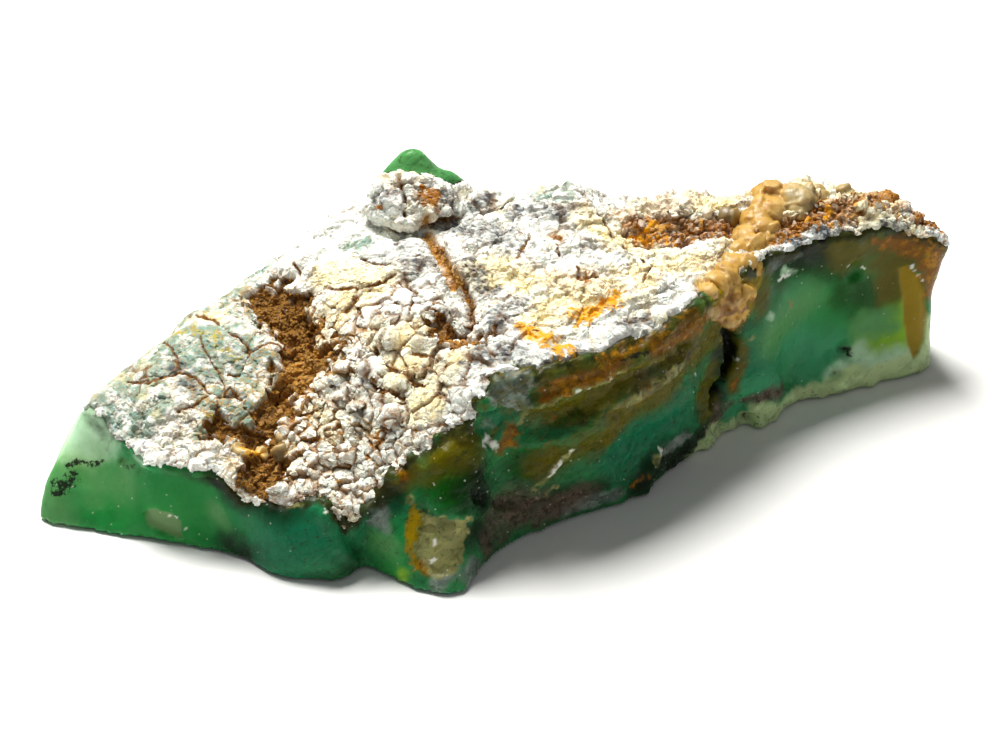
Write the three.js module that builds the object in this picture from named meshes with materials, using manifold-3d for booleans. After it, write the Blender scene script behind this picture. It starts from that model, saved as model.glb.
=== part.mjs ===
// Raw chrysoprase: a rough slab of green chalcedony with its pale rind still on top.
// One natural stone, so one solid. Millimetres, +Z up, resting on its broken underside.
import * as THREE from "three";
import { mergeVertices } from "three/addons/utils/BufferGeometryUtils.js";
import Module from "manifold-3d";

// ---------- driving dimensions ----------

// The middle of the stone's outline, moved to the origin at the end.
const MIDDLE = [0.57, 0.19];

// Places round the edge of the slab, anticlockwise from the tip of the beak.
// base: where the wall meets the underside; rim: where it meets the rind;
// bulge: how far the wall swells (or, below zero, hollows) halfway up.
const EDGE = [
  { name: "tip", base: [-41, -9.5], rim: [-36.2, -4.6, 9.2], bulge: 1 },
  { name: "beak front", base: [-35.6, -11.4], rim: [-34.6, -6.2, 9.2], bulge: 0.5 },
  { name: "beak middle", base: [-30.1, -12.8], rim: [-30.4, -10.9, 8.5], bulge: 0.2 },
  { name: "beak end", base: [-25, -14.1], rim: [-26, -12.1, 8.2], bulge: -0.2 },
  { name: "lobe rise", base: [-21.1, -16.4], rim: [-22, -13.2, 8], bulge: 0.3 },
  { name: "lobe belly", base: [-17.3, -18.1], rim: [-18.5, -14.5, 7.6], bulge: 1.3 },
  { name: "lobe end", base: [-13.7, -17.9], rim: [-14.6, -15.5, 7], bulge: 1.2 },
  { name: "nick", base: [-11.7, -16.3], rim: [-11.8, -16.2, 6.8], bulge: -0.8 },
  { name: "corner left", base: [-9.1, -18.3], rim: [-9.9, -15, 8.5], bulge: 0.6 },
  { name: "corner middle", base: [-6.7, -19.7], rim: [-7.7, -14.1, 10], bulge: 0.8 },
  { name: "corner", base: [-4.5, -20.5], rim: [-5.5, -13.7, 11.8], bulge: 0.9 },
  { name: "corner right", base: [-2.8, -19.2], rim: [-3.4, -13.1, 13.5], bulge: 0.6 },
  { name: "face start", base: [-1.7, -16.7], rim: [-1.5, -12.2, 15.8], bulge: 0.1 },
  { name: "face hollow", base: [0.4, -14.2], rim: [0.4, -11, 17], bulge: -0.7 },
  { name: "face under band", base: [3.5, -11.7], rim: [3.4, -11.4, 17.3], bulge: -0.5 },
  { name: "face band", base: [7.1, -9.5], rim: [7.3, -9.6, 17.2], bulge: 0.2 },
  { name: "face middle", base: [10.8, -7.6], rim: [10.3, -7.5, 17.2], bulge: 0.4 },
  { name: "face ridge", base: [14.3, -3.8], rim: [13.9, -4.9, 17.2], bulge: 0.5 },
  { name: "face end", base: [17.4, -0.4], rim: [17.4, -1, 17.4], bulge: 0.3 },
  { name: "fissure", base: [19.6, 1.7], rim: [19.7, 1.6, 17.5], bulge: -0.6 },
  { name: "block start", base: [22.1, 4.1], rim: [22, 4.5, 17.6], bulge: 0.3 },
  { name: "block left", base: [24.7, 4.9], rim: [24.6, 7.2, 17.5], bulge: 0.4 },
  { name: "block middle", base: [27.8, 8.2], rim: [27.7, 9.1, 17.6], bulge: -0.2 },
  { name: "block face", base: [32, 9.4], rim: [31.4, 11.2, 17.5], bulge: -0.4 },
  { name: "block right", base: [36, 11.7], rim: [35, 13, 17.2], bulge: -0.1 },
  { name: "block corner", base: [40.2, 13.1], rim: [39.2, 14.1, 15.6], bulge: -0.2 },
  { name: "right end", base: [41.2, 16], rim: [41.8, 15, 13.8], bulge: -0.7 },
  { name: "right back", base: [40.2, 19], rim: [40.4, 18, 12.6], bulge: 0.2 },
  { name: "back block", base: [35.5, 20.2], rim: [35.5, 19.6, 14.4], bulge: 0.4 },
  { name: "back block end", base: [28, 20], rim: [28, 20.2, 16], bulge: -0.6 },
  { name: "back step", base: [22, 18.2], rim: [22, 19, 15.6], bulge: -0.8 },
  { name: "back hollow", base: [15.5, 18.8], rim: [15.5, 18.6, 15.3], bulge: 0.3 },
  { name: "back lump", base: [7.5, 20.4], rim: [7.5, 19.6, 15.8], bulge: 0.6 },
  { name: "back saddle", base: [1, 18.8], rim: [1, 18.2, 15], bulge: -0.5 },
  { name: "back knob right", base: [-4, 19.8], rim: [-4, 20, 15.2], bulge: 0.2 },
  { name: "back knob", base: [-9, 20.5], rim: [-9, 20.4, 16], bulge: 0 },
  { name: "back knob left", base: [-14, 20.2], rim: [-13.6, 19.4, 14.2], bulge: 0.6 },
  { name: "back slope", base: [-19.4, 17.4], rim: [-19, 16.2, 12.2], bulge: 0.5 },
  { name: "back slope middle", base: [-26.2, 11.2], rim: [-26, 9.8, 9.8], bulge: -0.4 },
  { name: "back beak", base: [-33.2, 4.4], rim: [-32.8, 3.2, 7.6], bulge: 0.4 },
  { name: "back tip", base: [-39.2, -3.4], rim: [-37.6, -2.6, 5.6], bulge: 0.5 },
];

// Heights of the top that the rim doesn't give: its crest, its hollows and its shoulders.
const TOP_POINTS = [
  [39.4, 14.4, 15.8], [37.6, 15.7, 16.9], [33.4, 16.2, 18.4], [27.8, 16.3, 19],
  [22.2, 15.2, 18.6], [17.6, 15.2, 18.8], [12.9, 14.6, 18.4], [10, 15, 18.1], [6.6, 15.6, 19.4],
  [2.8, 14.8, 18.8], [0, 14, 17.9], [-3.2, 16.4, 17.8], [-8.3, 15.5, 18.2],
  [-13.3, 16.4, 16.8], [-16.9, 14, 15.7], [-20.5, 10.8, 14], [-24, 7.6, 12.9],
  [-27.4, 4.6, 11.9], [-30.8, 1.2, 11], [-34, -2.4, 9.8],
  [-17.6, -3.3, 13.2], [-8.6, -9.5, 13.6], [-4.3, -5, 17], [-13, -11, 9.8],
  [-26.3, -6.4, 10.8], [-10.9, 8.4, 17], [4.4, 3.6, 19], [12.6, 7.7, 18.5],
  [23.7, 10.7, 18.2], [32.2, 13.7, 18.2], [4.3, -5, 18.3], [-17.4, -11.1, 8.9],
  [-22, -6, 10.4], [-1.8, 9.2, 18.6],
];
const TOP_SOFTNESS = 2.5;

// Relief of the top: height above (or below) the sheet, fading over width from the path.
const TOP_RELIEF = [
  { name: "soil hollow", path: [[-20.5, 4], [-16.6, -1.6], [-17.6, -5]], width: 2.3, height: -1.7 },
  { name: "soil hollow foot", path: [[-19.4, -8], [-21.2, -10], [-20, -13]], width: 1.8, height: -1.2 },
  { name: "raised flake", path: [[-15.6, -5.6], [-18.6, -7.2], [-21.9, -8.6]], width: 0.9, height: 1.2 },
  { name: "brown hollow", path: [[12.5, 8.6], [17, 9.2], [21, 10.4]], width: 2, height: -1.4 },
  { name: "gap under the knob", path: [[-12, 13], [-9.6, 10.6], [-5.4, 10.6], [-2.4, 12.6]], width: 1.1, height: -1.3 },
  { name: "soil crack bed", path: [[-6.2, 8.2], [-5.4, 4.9], [-4.3, 1.4], [-3.3, -2.6]], width: 1.3, height: -0.5 },
  { name: "crack pit", path: [[-3, -4.8]], width: 1.6, height: -0.8 },
  { name: "chalcedony seam", path: [[24.4, 14], [23.6, 11], [22.4, 8], [21.4, 4.6]], width: 1.2, height: 0.6 },
  { name: "clear lump", path: [[26.8, 13.4]], width: 1.7, height: 1 },
  { name: "brown lumps", path: [[30.4, 14.4], [33, 15]], width: 1.5, height: 0.5 },
  { name: "streaked plate", path: [[-14, 8], [-11, 5.6]], width: 2.6, height: 0.4 },
  { name: "step behind rubble", path: [[-11, -1], [-6.5, -1.8]], width: 1.6, height: 0.5 },
];

// Relief of the wall, pushed outwards (or inwards) in the same way.
const WALL_RELIEF = [
  { name: "upper band", path: [[2.6, -11.6, 14.2], [7.3, -10, 15], [12.1, -6.9, 15.6]], width: 1.3, height: 0.9 },
  { name: "under the band", path: [[2.8, -11.2, 11.8], [8.6, -9, 12.8]], width: 1.2, height: -0.6 },
  { name: "tan ridge", path: [[6.5, -10.3, 10.4], [9.6, -8.6, 11], [15.7, -3.6, 11.6]], width: 1.1, height: 0.6 },
  { name: "white ridge", path: [[6.1, -10.3, 8.3], [3.5, -11, 4.9]], width: 1, height: 0.6 },
  { name: "lobe ridge", path: [[-15, -15.6, 7], [-14.9, -17.4, 5], [-13, -17.8, 1.4]], width: 1.1, height: 0.7 },
  { name: "corner chip", path: [[-4.6, -17.8, 4.4], [-5.2, -19.4, 2.6]], width: 1.9, height: -0.8 },
  { name: "beak chip", path: [[-29.4, -12.6, 2.2]], width: 1.7, height: -0.6 },
  { name: "beak scar", path: [[-34.6, -9.4, 4.8]], width: 3.6, height: -0.5 },
  { name: "block scar", path: [[29.6, 9.2, 8.6]], width: 4.6, height: -0.7 },
  { name: "block end scar", path: [[37.4, 12.9, 8.4]], width: 3, height: -0.6 },
  { name: "block foot", path: [[25, 5, 1.6], [31, 9.2, 1.6], [38, 12.8, 1.6]], width: 1, height: 0.4 },
  { name: "face scar", path: [[11.6, -6.8, 5.6]], width: 3.4, height: -0.6 },
  { name: "face foot scar", path: [[2.4, -12.8, 4.4]], width: 2.4, height: -0.5 },
  { name: "back slope scar", path: [[-27, 10.6, 4.6]], width: 4.5, height: -0.9 },
  { name: "back knob scar", path: [[-10, 20.4, 8]], width: 4.6, height: -0.8 },
  { name: "back step scar", path: [[4, 19.4, 6.4]], width: 4.2, height: -0.9 },
  { name: "back long scar", path: [[17, 18.8, 9.4], [20, 18.6, 6]], width: 3.6, height: -0.8 },
  { name: "back block scar", path: [[34, 20, 7]], width: 4, height: -0.8 },
  { name: "back ridge", path: [[-17, 19, 1.5], [-15, 19.6, 7], [-14, 19.4, 12]], width: 1.4, height: 0.7 },
  { name: "back block ridge", path: [[29, 20, 2], [27, 20, 9], [28, 20, 14]], width: 1.5, height: 0.7 },
];

// Open cracks in the rind.
const CRACKS = [
  { name: "soil crack", path: [[-6.2, 8.6], [-5.4, 4.9], [-4.3, 1.4], [-3.3, -2.6], [-2.9, -5.4]], radius: 0.6 },
  { name: "plate crack", path: [[-20.6, 5.2], [-18, 3.8], [-14.3, 3.8], [-11.2, 3.2], [-8.9, 3.7]], radius: 0.36 },
  { name: "rubble crack", path: [[-10.4, -4.6], [-7.7, -8.2], [-5.6, -9.2]], radius: 0.4 },
  { name: "beak crack", path: [[-32.4, -3.5], [-29.6, -4.1], [-27.7, -3.7], [-25.4, -6.3], [-22.8, -5.8]], radius: 0.34 },
  { name: "slope crack", path: [[-27.2, 3.2], [-25.4, 1.5], [-22.2, -1.9], [-23, -3.8]], radius: 0.34 },
  { name: "plate edge", path: [[0.6, 9.6], [2.6, 6], [1.4, 1.6], [-1.4, -1.6]], radius: 0.3 },
];

// The slit where the right-hand block has begun to part from the slab.
const SLIT = { at: [20.2, 2.7], foot: 2.4, head: 12.4, width: 1.2, depth: 3.4, reach: 1.6, inward: 139, lean: 0.14 };

// Lumps grown on the rind: centre, half sizes, how much they narrow upwards and how much
// their faces wander.
const LUMPS = [
  { name: "knob", at: [-8, 13.9, 18.7], size: [4.1, 3.6, 2.5], taper: 0.1, wander: 0.16, detail: 2 },
  { name: "green crest", at: [-8.1, 16.8, 19.4], size: [3, 2.2, 3.2], taper: 0.6, wander: 0.06, detail: 2 },
  { name: "crest tail", at: [-5.4, 16.7, 18.4], size: [2.9, 1.8, 2], taper: 0.4, wander: 0.08, detail: 1 },
  { name: "small lump", at: [-1, 14.2, 17.9], size: [2, 1.5, 0.9], taper: 0, wander: 0.12, detail: 1 },
  { name: "ochre lump", at: [-21.8, -10.8, 8.2], size: [1.1, 0.9, 0.9], taper: 0, wander: 0.1, detail: 1 },
  { name: "tan nodule", at: [-19, -10.6, 8.4], size: [1.2, 0.9, 0.9], taper: 0, wander: 0.1, detail: 1 },
  { name: "nodule", at: [-13.7, -5.5, 12.4], size: [1, 0.9, 0.9], taper: 0, wander: 0.1, detail: 1 },
];

// Loose-looking grains grown fast to the rind.
const FRINGE_GRAINS = { count: 20, from: 0.015, to: 0.45, smallest: 0.8, largest: 1.5 };
const RUBBLE_GRAINS = { count: 18, middle: [-12, -6.5], reach: [8.5, 6], smallest: 0.8, largest: 1.4 };

const LEVELS = [0, 0.1, 0.22, 0.34, 0.46, 0.58, 0.7, 0.82, 0.93, 1];
const COLUMNS_PER_STATION = 3;
const SKIRT = 2;
const HEADROOM = 26;
const LIP = 0.35;

const TOP_STEP = 1.55;
const COBBLE = { size: 3.6, height: 0.8 };
const BOTTOM_STEP = 3.2;
const CURL = 0.25;
const BLOCK = { width: 90, depth: 46, below: -6 };

// ---------- helpers ----------

const wasm = await Module();
wasm.setup();

function solid(geometry) {
  geometry.deleteAttribute("normal");
  geometry.deleteAttribute("uv");
  const merged = mergeVertices(geometry, 1e-5);
  const mesh = new wasm.Mesh({
    numProp: 3,
    vertProperties: merged.attributes.position.array,
    triVerts: merged.index.array,
  });
  return new wasm.Manifold(mesh);
}

// The same seed gives the same stone each time.
let seed = 7;
function random() {
  seed = (seed * 16807) % 2147483647;
  return seed / 2147483647;
}
const between = (low, high) => low + (high - low) * random();

// A fixed value between 0 and 1 for each whole-numbered place.
function scatter(i, j, k) {
  const value = Math.sin(i * 127.1 + j * 311.7 + k * 74.7) * 43758.5453;
  return value - Math.floor(value);
}

// A small waviness that never repeats across the stone, between about -1 and 1.
function waves(x, y, z, size) {
  const a = Math.sin((1.7 * x + 2.3 * y + 0.9 * z) / size + 1.3);
  const b = Math.sin((2.9 * x - 1.1 * y + 1.6 * z) / size + 4.1);
  const c = Math.sin((-1.3 * x + 3.1 * y - 2.2 * z) / size + 2.2);
  return (a + b + c) / 3;
}

// Low domes side by side, as the rind's cobbles are: 1 on a dome, 0 between them.
function cobbles(x, y, size) {
  const column = Math.floor(x / size);
  const row = Math.floor(y / size);
  let nearest = Infinity;
  for (let i = column - 1; i <= column + 1; i++) {
    for (let j = row - 1; j <= row + 1; j++) {
      const cx = (i + scatter(i, j, 1)) * size;
      const cy = (j + scatter(i, j, 2)) * size;
      nearest = Math.min(nearest, Math.hypot(x - cx, y - cy));
    }
  }
  return Math.max(0, 1 - (1.5 * nearest) / size);
}

// How far a point lies from a path of straight stretches, or from a path of one point.
function distanceTo(path, point) {
  const place = new THREE.Vector3(...point);
  const corners = path.map((corner) => new THREE.Vector3(...corner));
  let nearest = place.distanceTo(corners[0]);
  const onPath = new THREE.Vector3();
  for (let i = 1; i < corners.length; i++) {
    new THREE.Line3(corners[i - 1], corners[i]).closestPointToPoint(place, true, onPath);
    nearest = Math.min(nearest, place.distanceTo(onPath));
  }
  return nearest;
}

const flat = (path) => path.map(([x, y]) => [x, y, 0]);
const relief = (features, point) => features.reduce(
  (sum, f) => sum + f.height * Math.exp(-((distanceTo(f.path, point) / f.width) ** 2)), 0);

// Solves rows * answer = values by elimination.
function solve(rows, values) {
  const n = values.length;
  const work = rows.map((row, i) => [...row, values[i]]);
  for (let k = 0; k < n; k++) {
    let best = k;
    for (let i = k + 1; i < n; i++) {
      if (Math.abs(work[i][k]) > Math.abs(work[best][k])) best = i;
    }
    [work[k], work[best]] = [work[best], work[k]];
    for (let i = k + 1; i < n; i++) {
      const factor = work[i][k] / work[k][k];
      for (let j = k; j <= n; j++) work[i][j] -= factor * work[k][j];
    }
  }
  const answer = new Array(n).fill(0);
  for (let k = n - 1; k >= 0; k--) {
    let sum = work[k][n];
    for (let j = k + 1; j < n; j++) sum -= work[k][j] * answer[j];
    answer[k] = sum / work[k][k];
  }
  return answer;
}

// A smooth sheet through the given points.
function sheetThrough(points) {
  const mean = points.reduce((sum, p) => sum + p[2], 0) / points.length;
  const away = (x, y, p) => Math.hypot(x - p[0], y - p[1], TOP_SOFTNESS);
  const rows = points.map((p) => points.map((q) => away(p[0], p[1], q)));
  const weights = solve(rows, points.map((p) => p[2] - mean));
  return (x, y) => points.reduce((sum, p, i) => sum + weights[i] * away(x, y, p), mean);
}

// ---------- the edge ----------

const curveThrough = (points) => new THREE.CatmullRomCurve3(points, true, "catmullrom", 0.5);
const baseCurve = curveThrough(EDGE.map((s) => new THREE.Vector3(...s.base, s.bulge)));
const rimCurve = curveThrough(EDGE.map((s) => new THREE.Vector3(...s.rim)));
const COLUMNS = EDGE.length * COLUMNS_PER_STATION;

// A column of the wall: its foot (with the bulge as z), its rim and the way out of the stone.
function columnAt(u) {
  const along = rimCurve.getTangent(u);
  const out = new THREE.Vector2(along.y, -along.x).normalize();
  return { base: baseCurve.getPoint(u), rim: rimCurve.getPoint(u), out };
}
const columns = Array.from({ length: COLUMNS }, (_, i) => columnAt(i / COLUMNS));

function wallPoint({ base, rim, out }, level) {
  const x = THREE.MathUtils.lerp(base.x, rim.x, level);
  const y = THREE.MathUtils.lerp(base.y, rim.y, level);
  const z = level * rim.z;
  const swell = base.z * 4 * level * (1 - level);
  const ripple = level > 0 ? 0.25 * waves(x, y, z, 4.5) : 0;
  const lip = level > 0.9 ? LIP + 0.25 * waves(x, y, z, 1.1) : 0;
  const push = swell + ripple + lip + (level > 0 ? relief(WALL_RELIEF, [x, y, z]) : 0);
  return [x + out.x * push, y + out.y * push, z];
}

function wall() {
  const outline = new THREE.Shape(columns.map((c) => new THREE.Vector2(c.base.x, c.base.y)));
  const steps = LEVELS.length + 1;
  const geometry = new THREE.ExtrudeGeometry(outline, { steps, depth: steps, bevelEnabled: false });
  const position = geometry.attributes.position;
  const nearest = (x, y) => {
    const far = (c) => Math.hypot(c.base.x - x, c.base.y - y);
    return columns.reduce((best, c) => (far(c) < far(best) ? c : best));
  };
  for (let i = 0; i < position.count; i++) {
    const column = nearest(position.getX(i), position.getY(i));
    const row = Math.round(position.getZ(i));
    if (row === 0) {
      const [x, y] = wallPoint(column, 0);
      position.setXYZ(i, x, y, -SKIRT);
    } else if (row === steps) {
      const [x, y] = wallPoint(column, 1);
      position.setXYZ(i, x, y, HEADROOM);
    } else {
      position.setXYZ(i, ...wallPoint(column, LEVELS[row - 1]));
    }
  }
  return solid(geometry);
}

// ---------- the top and the underside ----------

const smoothTop = sheetThrough([...EDGE.map((s) => s.rim), ...TOP_POINTS]);
const flatRelief = TOP_RELIEF.map((f) => ({ ...f, path: flat(f.path) }));

function topHeight(x, y) {
  const ripple = 0.2 * waves(x, y, 0, 2.1);
  const domes = COBBLE.height * (cobbles(x, y, COBBLE.size) - 0.4);
  return smoothTop(x, y) + ripple + domes + relief(flatRelief, [x, y, 0]);
}

function topBlock() {
  const { width, depth, below } = BLOCK;
  const nx = Math.round(width / TOP_STEP);
  const ny = Math.round(depth / TOP_STEP);
  const geometry = new THREE.BoxGeometry(width, depth, 2, nx, ny, 1);
  const position = geometry.attributes.position;
  for (let i = 0; i < position.count; i++) {
    const x = position.getX(i);
    const y = position.getY(i);
    position.setZ(i, position.getZ(i) > 0 ? topHeight(x, y) : below);
  }
  return solid(geometry);
}

// The underside is a flat break whose edge curls up a little.
function bottomBlock() {
  const { width, depth } = BLOCK;
  const nx = Math.round(width / BOTTOM_STEP);
  const ny = Math.round(depth / BOTTOM_STEP);
  const geometry = new THREE.BoxGeometry(width, depth, 2, nx, ny, 1);
  const position = geometry.attributes.position;
  const toEdge = (x, y) => Math.min(...columns.map((c) => Math.hypot(c.base.x - x, c.base.y - y)));
  for (let i = 0; i < position.count; i++) {
    const x = position.getX(i);
    const y = position.getY(i);
    const rise = CURL * Math.max(0, 1 - toEdge(x, y) / 4) ** 2;
    position.setZ(i, position.getZ(i) > 0 ? HEADROOM + 4 : rise);
  }
  return solid(geometry);
}

// ---------- cracks and the slit ----------

function crack({ path, radius }) {
  const points = path.map(([x, y]) => new THREE.Vector3(x, y, topHeight(x, y)));
  const curve = new THREE.CatmullRomCurve3(points);
  const steps = Math.ceil(curve.getLength() / 1.8);
  const corners = [0, 1, 2, 3, 4].map((k) => {
    const turn = (k * 2 * Math.PI) / 5;
    return new THREE.Vector2(radius * Math.cos(turn), radius * Math.sin(turn));
  });
  return solid(new THREE.ExtrudeGeometry(new THREE.Shape(corners), { steps, extrudePath: curve }));
}

function slit() {
  const { at, foot, head, width, depth, reach, inward, lean } = SLIT;
  const wedge = new THREE.Shape([
    new THREE.Vector2(-reach, -width / 2),
    new THREE.Vector2(depth, 0),
    new THREE.Vector2(-reach, width / 2),
  ]);
  const height = head - foot;
  const geometry = new THREE.ExtrudeGeometry(wedge, { steps: 4, depth: height, bevelEnabled: false });
  const position = geometry.attributes.position;
  for (let i = 0; i < position.count; i++) {
    const up = position.getZ(i) / height;
    const taper = 0.25 + Math.sin(Math.PI * up) * 0.75;
    position.setXYZ(i, position.getX(i), position.getY(i) * taper, position.getZ(i));
  }
  geometry.rotateZ(THREE.MathUtils.degToRad(inward));
  geometry.applyMatrix4(new THREE.Matrix4().makeShear(0, 0, 0, 0, lean, lean));
  geometry.translate(at[0], at[1], foot);
  return solid(geometry);
}

// ---------- lumps and grains ----------

function lump({ at, size, taper, wander, detail }) {
  const geometry = new THREE.IcosahedronGeometry(1, detail);
  geometry.deleteAttribute("normal");
  geometry.deleteAttribute("uv");
  const ball = mergeVertices(geometry, 1e-4);
  const position = ball.attributes.position;
  for (let i = 0; i < position.count; i++) {
    const point = new THREE.Vector3().fromBufferAttribute(position, i);
    const grow = 1 + wander * (2 * scatter(i, at[0], at[1]) - 1);
    const narrow = grow * (1 - taper * Math.max(0, point.z));
    position.setXYZ(i, point.x * size[0] * narrow, point.y * size[1] * narrow, point.z * size[2] * grow);
  }
  ball.translate(...at);
  return solid(ball);
}

function grain(place, size) {
  const geometry = new THREE.IcosahedronGeometry(size, 0);
  geometry.scale(between(0.8, 1.3), between(0.8, 1.2), between(0.6, 0.9));
  geometry.rotateX(between(-0.5, 0.5));
  geometry.rotateY(between(-0.5, 0.5));
  geometry.rotateZ(between(0, Math.PI));
  geometry.translate(...place);
  return solid(geometry);
}

// Grains along the rim, where the rind hangs over the green wall.
function fringeGrains() {
  const { count, from, to, smallest, largest } = FRINGE_GRAINS;
  return Array.from({ length: count }, (_, i) => {
    const { rim, out } = columnAt(from + ((to - from) * (i + between(0.2, 0.8))) / count);
    const inset = between(-0.5, 0.3);
    const x = rim.x + out.x * inset;
    const y = rim.y + out.y * inset;
    return grain([x, y, rim.z - between(0.2, 0.9)], between(smallest, largest));
  });
}

// Grains over the crumbled middle of the rind, spaced as sunflower seeds are.
function rubbleGrains() {
  const { count, middle, reach, smallest, largest } = RUBBLE_GRAINS;
  return Array.from({ length: count }, (_, i) => {
    const turn = i * 2.39996;
    const far = Math.sqrt((i + 0.5) / count);
    const x = middle[0] + reach[0] * far * Math.cos(turn);
    const y = middle[1] + reach[1] * far * Math.sin(turn);
    return grain([x, y, topHeight(x, y) - 0.2], between(smallest, largest));
  });
}

// ---------- the stone ----------

let stone = wall().intersect(topBlock());
for (const extra of [...LUMPS.map(lump), ...fringeGrains(), ...rubbleGrains()]) {
  stone = stone.add(extra);
}
stone = stone.intersect(bottomBlock());
for (const cutter of [...CRACKS.map(crack), slit()]) {
  stone = stone.subtract(cutter);
}

const { vertProperties, triVerts } = stone.getMesh();
const geometry = new THREE.BufferGeometry();
geometry.setAttribute("position", new THREE.BufferAttribute(vertProperties, 3));
geometry.setIndex(new THREE.BufferAttribute(triVerts, 1));
geometry.translate(-MIDDLE[0], -MIDDLE[1], 0);
geometry.computeVertexNormals();

const material = new THREE.MeshStandardMaterial({ color: 0x4f9d78, roughness: 0.45, metalness: 0 });
const chrysoprase = new THREE.Mesh(geometry, material);
chrysoprase.name = "chrysoprase";

const group = new THREE.Group();
group.add(chrysoprase);

export default group;
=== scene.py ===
# %% [markdown]
# # Raw chrysoprase
# This lesson dresses a rough slab of chrysoprase as it comes out of the ground. On the real
# stone the body is green chalcedony, waxy and see-through at thin edges, broken in shell-like
# dishes. A chalky rind of magnesite grew over its top, dried, split and took up brown soil
# and iron stain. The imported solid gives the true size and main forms. Everything below adds
# the finish on top of it, in the same frame, and never moves it.

# %% Load the frame
import itertools
import math

import bmesh
import bpy
import numpy as np
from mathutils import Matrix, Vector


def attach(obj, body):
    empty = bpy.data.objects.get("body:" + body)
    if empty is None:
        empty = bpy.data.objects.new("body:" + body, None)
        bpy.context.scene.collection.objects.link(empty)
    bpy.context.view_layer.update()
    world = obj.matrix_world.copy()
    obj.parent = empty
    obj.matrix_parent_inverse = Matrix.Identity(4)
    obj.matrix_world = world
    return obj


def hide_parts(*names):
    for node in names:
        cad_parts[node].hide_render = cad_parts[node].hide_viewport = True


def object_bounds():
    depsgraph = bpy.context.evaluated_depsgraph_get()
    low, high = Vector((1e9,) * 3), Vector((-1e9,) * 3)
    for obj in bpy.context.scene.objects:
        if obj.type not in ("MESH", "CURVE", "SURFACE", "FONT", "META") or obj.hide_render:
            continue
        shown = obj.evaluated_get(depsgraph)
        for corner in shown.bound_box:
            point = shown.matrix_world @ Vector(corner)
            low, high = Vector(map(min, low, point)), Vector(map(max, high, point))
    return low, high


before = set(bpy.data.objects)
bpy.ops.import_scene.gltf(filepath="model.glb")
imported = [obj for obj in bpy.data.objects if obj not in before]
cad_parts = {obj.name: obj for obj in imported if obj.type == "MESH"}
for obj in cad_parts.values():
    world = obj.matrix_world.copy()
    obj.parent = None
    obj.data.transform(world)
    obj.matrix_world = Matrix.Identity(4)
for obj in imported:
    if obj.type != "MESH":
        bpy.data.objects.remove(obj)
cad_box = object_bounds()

MM = 0.001
MIDDLE = np.array([0.57, 0.19, 0.0])
stone_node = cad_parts["chrysoprase"]
print("solid's box in mm:", [np.round(np.array(corner) / MM, 1).tolist() for corner in cad_box])

# %% [markdown]
# ## Noise that can be measured
# Stone relief comes from many small things that never repeat. Blender's displacement textures
# could do it, but then the mesh wouldn't know where a cleft is, and the colours could not
# follow it. So the noise here is plain arithmetic on the points: the same numbers move the
# surface and later tell the material where the soil lies. All of it works in millimetres.

# %% Soft noise
REPEAT = 64


def numbers(seed, kinds):
    """Fixed random numbers, 0 to 1, for a block of cells that repeats through space."""
    return np.random.default_rng(seed).random((REPEAT**3, kinds), dtype=np.float32)


def cell_numbers(low, steps):
    """For each axis and step, the part that it adds to a cell's place in the block."""
    cells = low.astype(np.int32)
    return [
        {step: ((cells[:, axis] + step) % REPEAT) * REPEAT ** (2 - axis) for step in steps}
        for axis in range(3)
    ]


def drift(points, size, seed=0):
    """Soft noise from -1 to 1, its humps about size apart."""
    place = (points / size).astype(np.float32)
    low = np.floor(place)
    along_x, along_y, along_z = cell_numbers(low, (0, 1))
    table = numbers(seed, 1)[:, 0]
    part = place - low
    part = part * part * (3 - 2 * part)
    shares = {1: part, 0: 1 - part}
    total = np.zeros(len(points), np.float32)
    for i, j, k in itertools.product((0, 1), repeat=3):
        share = shares[i][:, 0] * shares[j][:, 1] * shares[k][:, 2]
        total += share * table[along_x[i] + along_y[j] + along_z[k]]
    return 2 * total - 1


def ragged(points, size, seed=0):
    """Three drifts laid over each other, each half as large as the one before."""
    return sum(drift(points, size / 2**k, seed + k) / 2**k for k in range(3)) / 1.5


probe = np.random.default_rng(1).uniform(-40, 40, (2000, 3))
print("soft noise runs from", drift(probe, 3).min().round(2), "to", drift(probe, 3).max().round(2))

# %% Noise that breaks into pieces
def broken(points, size, seed=0):
    """Splits space into pieces about size across, as rubble or drying earth splits.
    Gives each point three fixed numbers of its piece, its way from the piece's middle and
    how far the next piece is."""
    place = (points / size).astype(np.float32)
    low = np.floor(place)
    along_x, along_y, along_z = cell_numbers(low, (-1, 0, 1))
    table = numbers(seed, 6)
    middles = np.ascontiguousarray(table[:, :3])
    part = place - low
    best = np.full(len(points), 9.0, np.float32)
    second = best.copy()
    offset = np.zeros_like(part)
    owner = np.zeros(len(points), np.int32)
    for i, j, k in itertools.product((-1, 0, 1), repeat=3):
        cell = along_x[i] + along_y[j] + along_z[k]
        way = part - middles[cell] - np.array([i, j, k], np.float32)
        gap = np.sqrt((way * way).sum(axis=1))
        nearer = gap < best
        second = np.where(nearer, best, np.minimum(second, gap))
        best = np.where(nearer, gap, best)
        offset[nearer] = way[nearer]
        owner[nearer] = cell[nearer]
    return table[owner, 3:], offset * size, (second - best) * size / 2


def rubble(points, size, seed, tilt, step, gap):
    """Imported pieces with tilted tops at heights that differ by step, and clefts between them of
    width gap. Gives the tops, the clefts and the three numbers of each piece."""
    traits, offset, border = broken(points, size, seed)
    tops = tilt * ((2 * traits - 1) * offset).sum(axis=1) + step * (2 * traits[:, 0] - 1)
    clefts = np.exp(-((border / gap) ** 2))
    return tops, clefts, traits


_, probe_clefts, _ = rubble(probe, 1.2, 3, tilt=0.3, step=0.2, gap=0.1)
print("rubble of 1.2 mm has clefts over", (probe_clefts > 0.5).mean().round(2))

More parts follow.
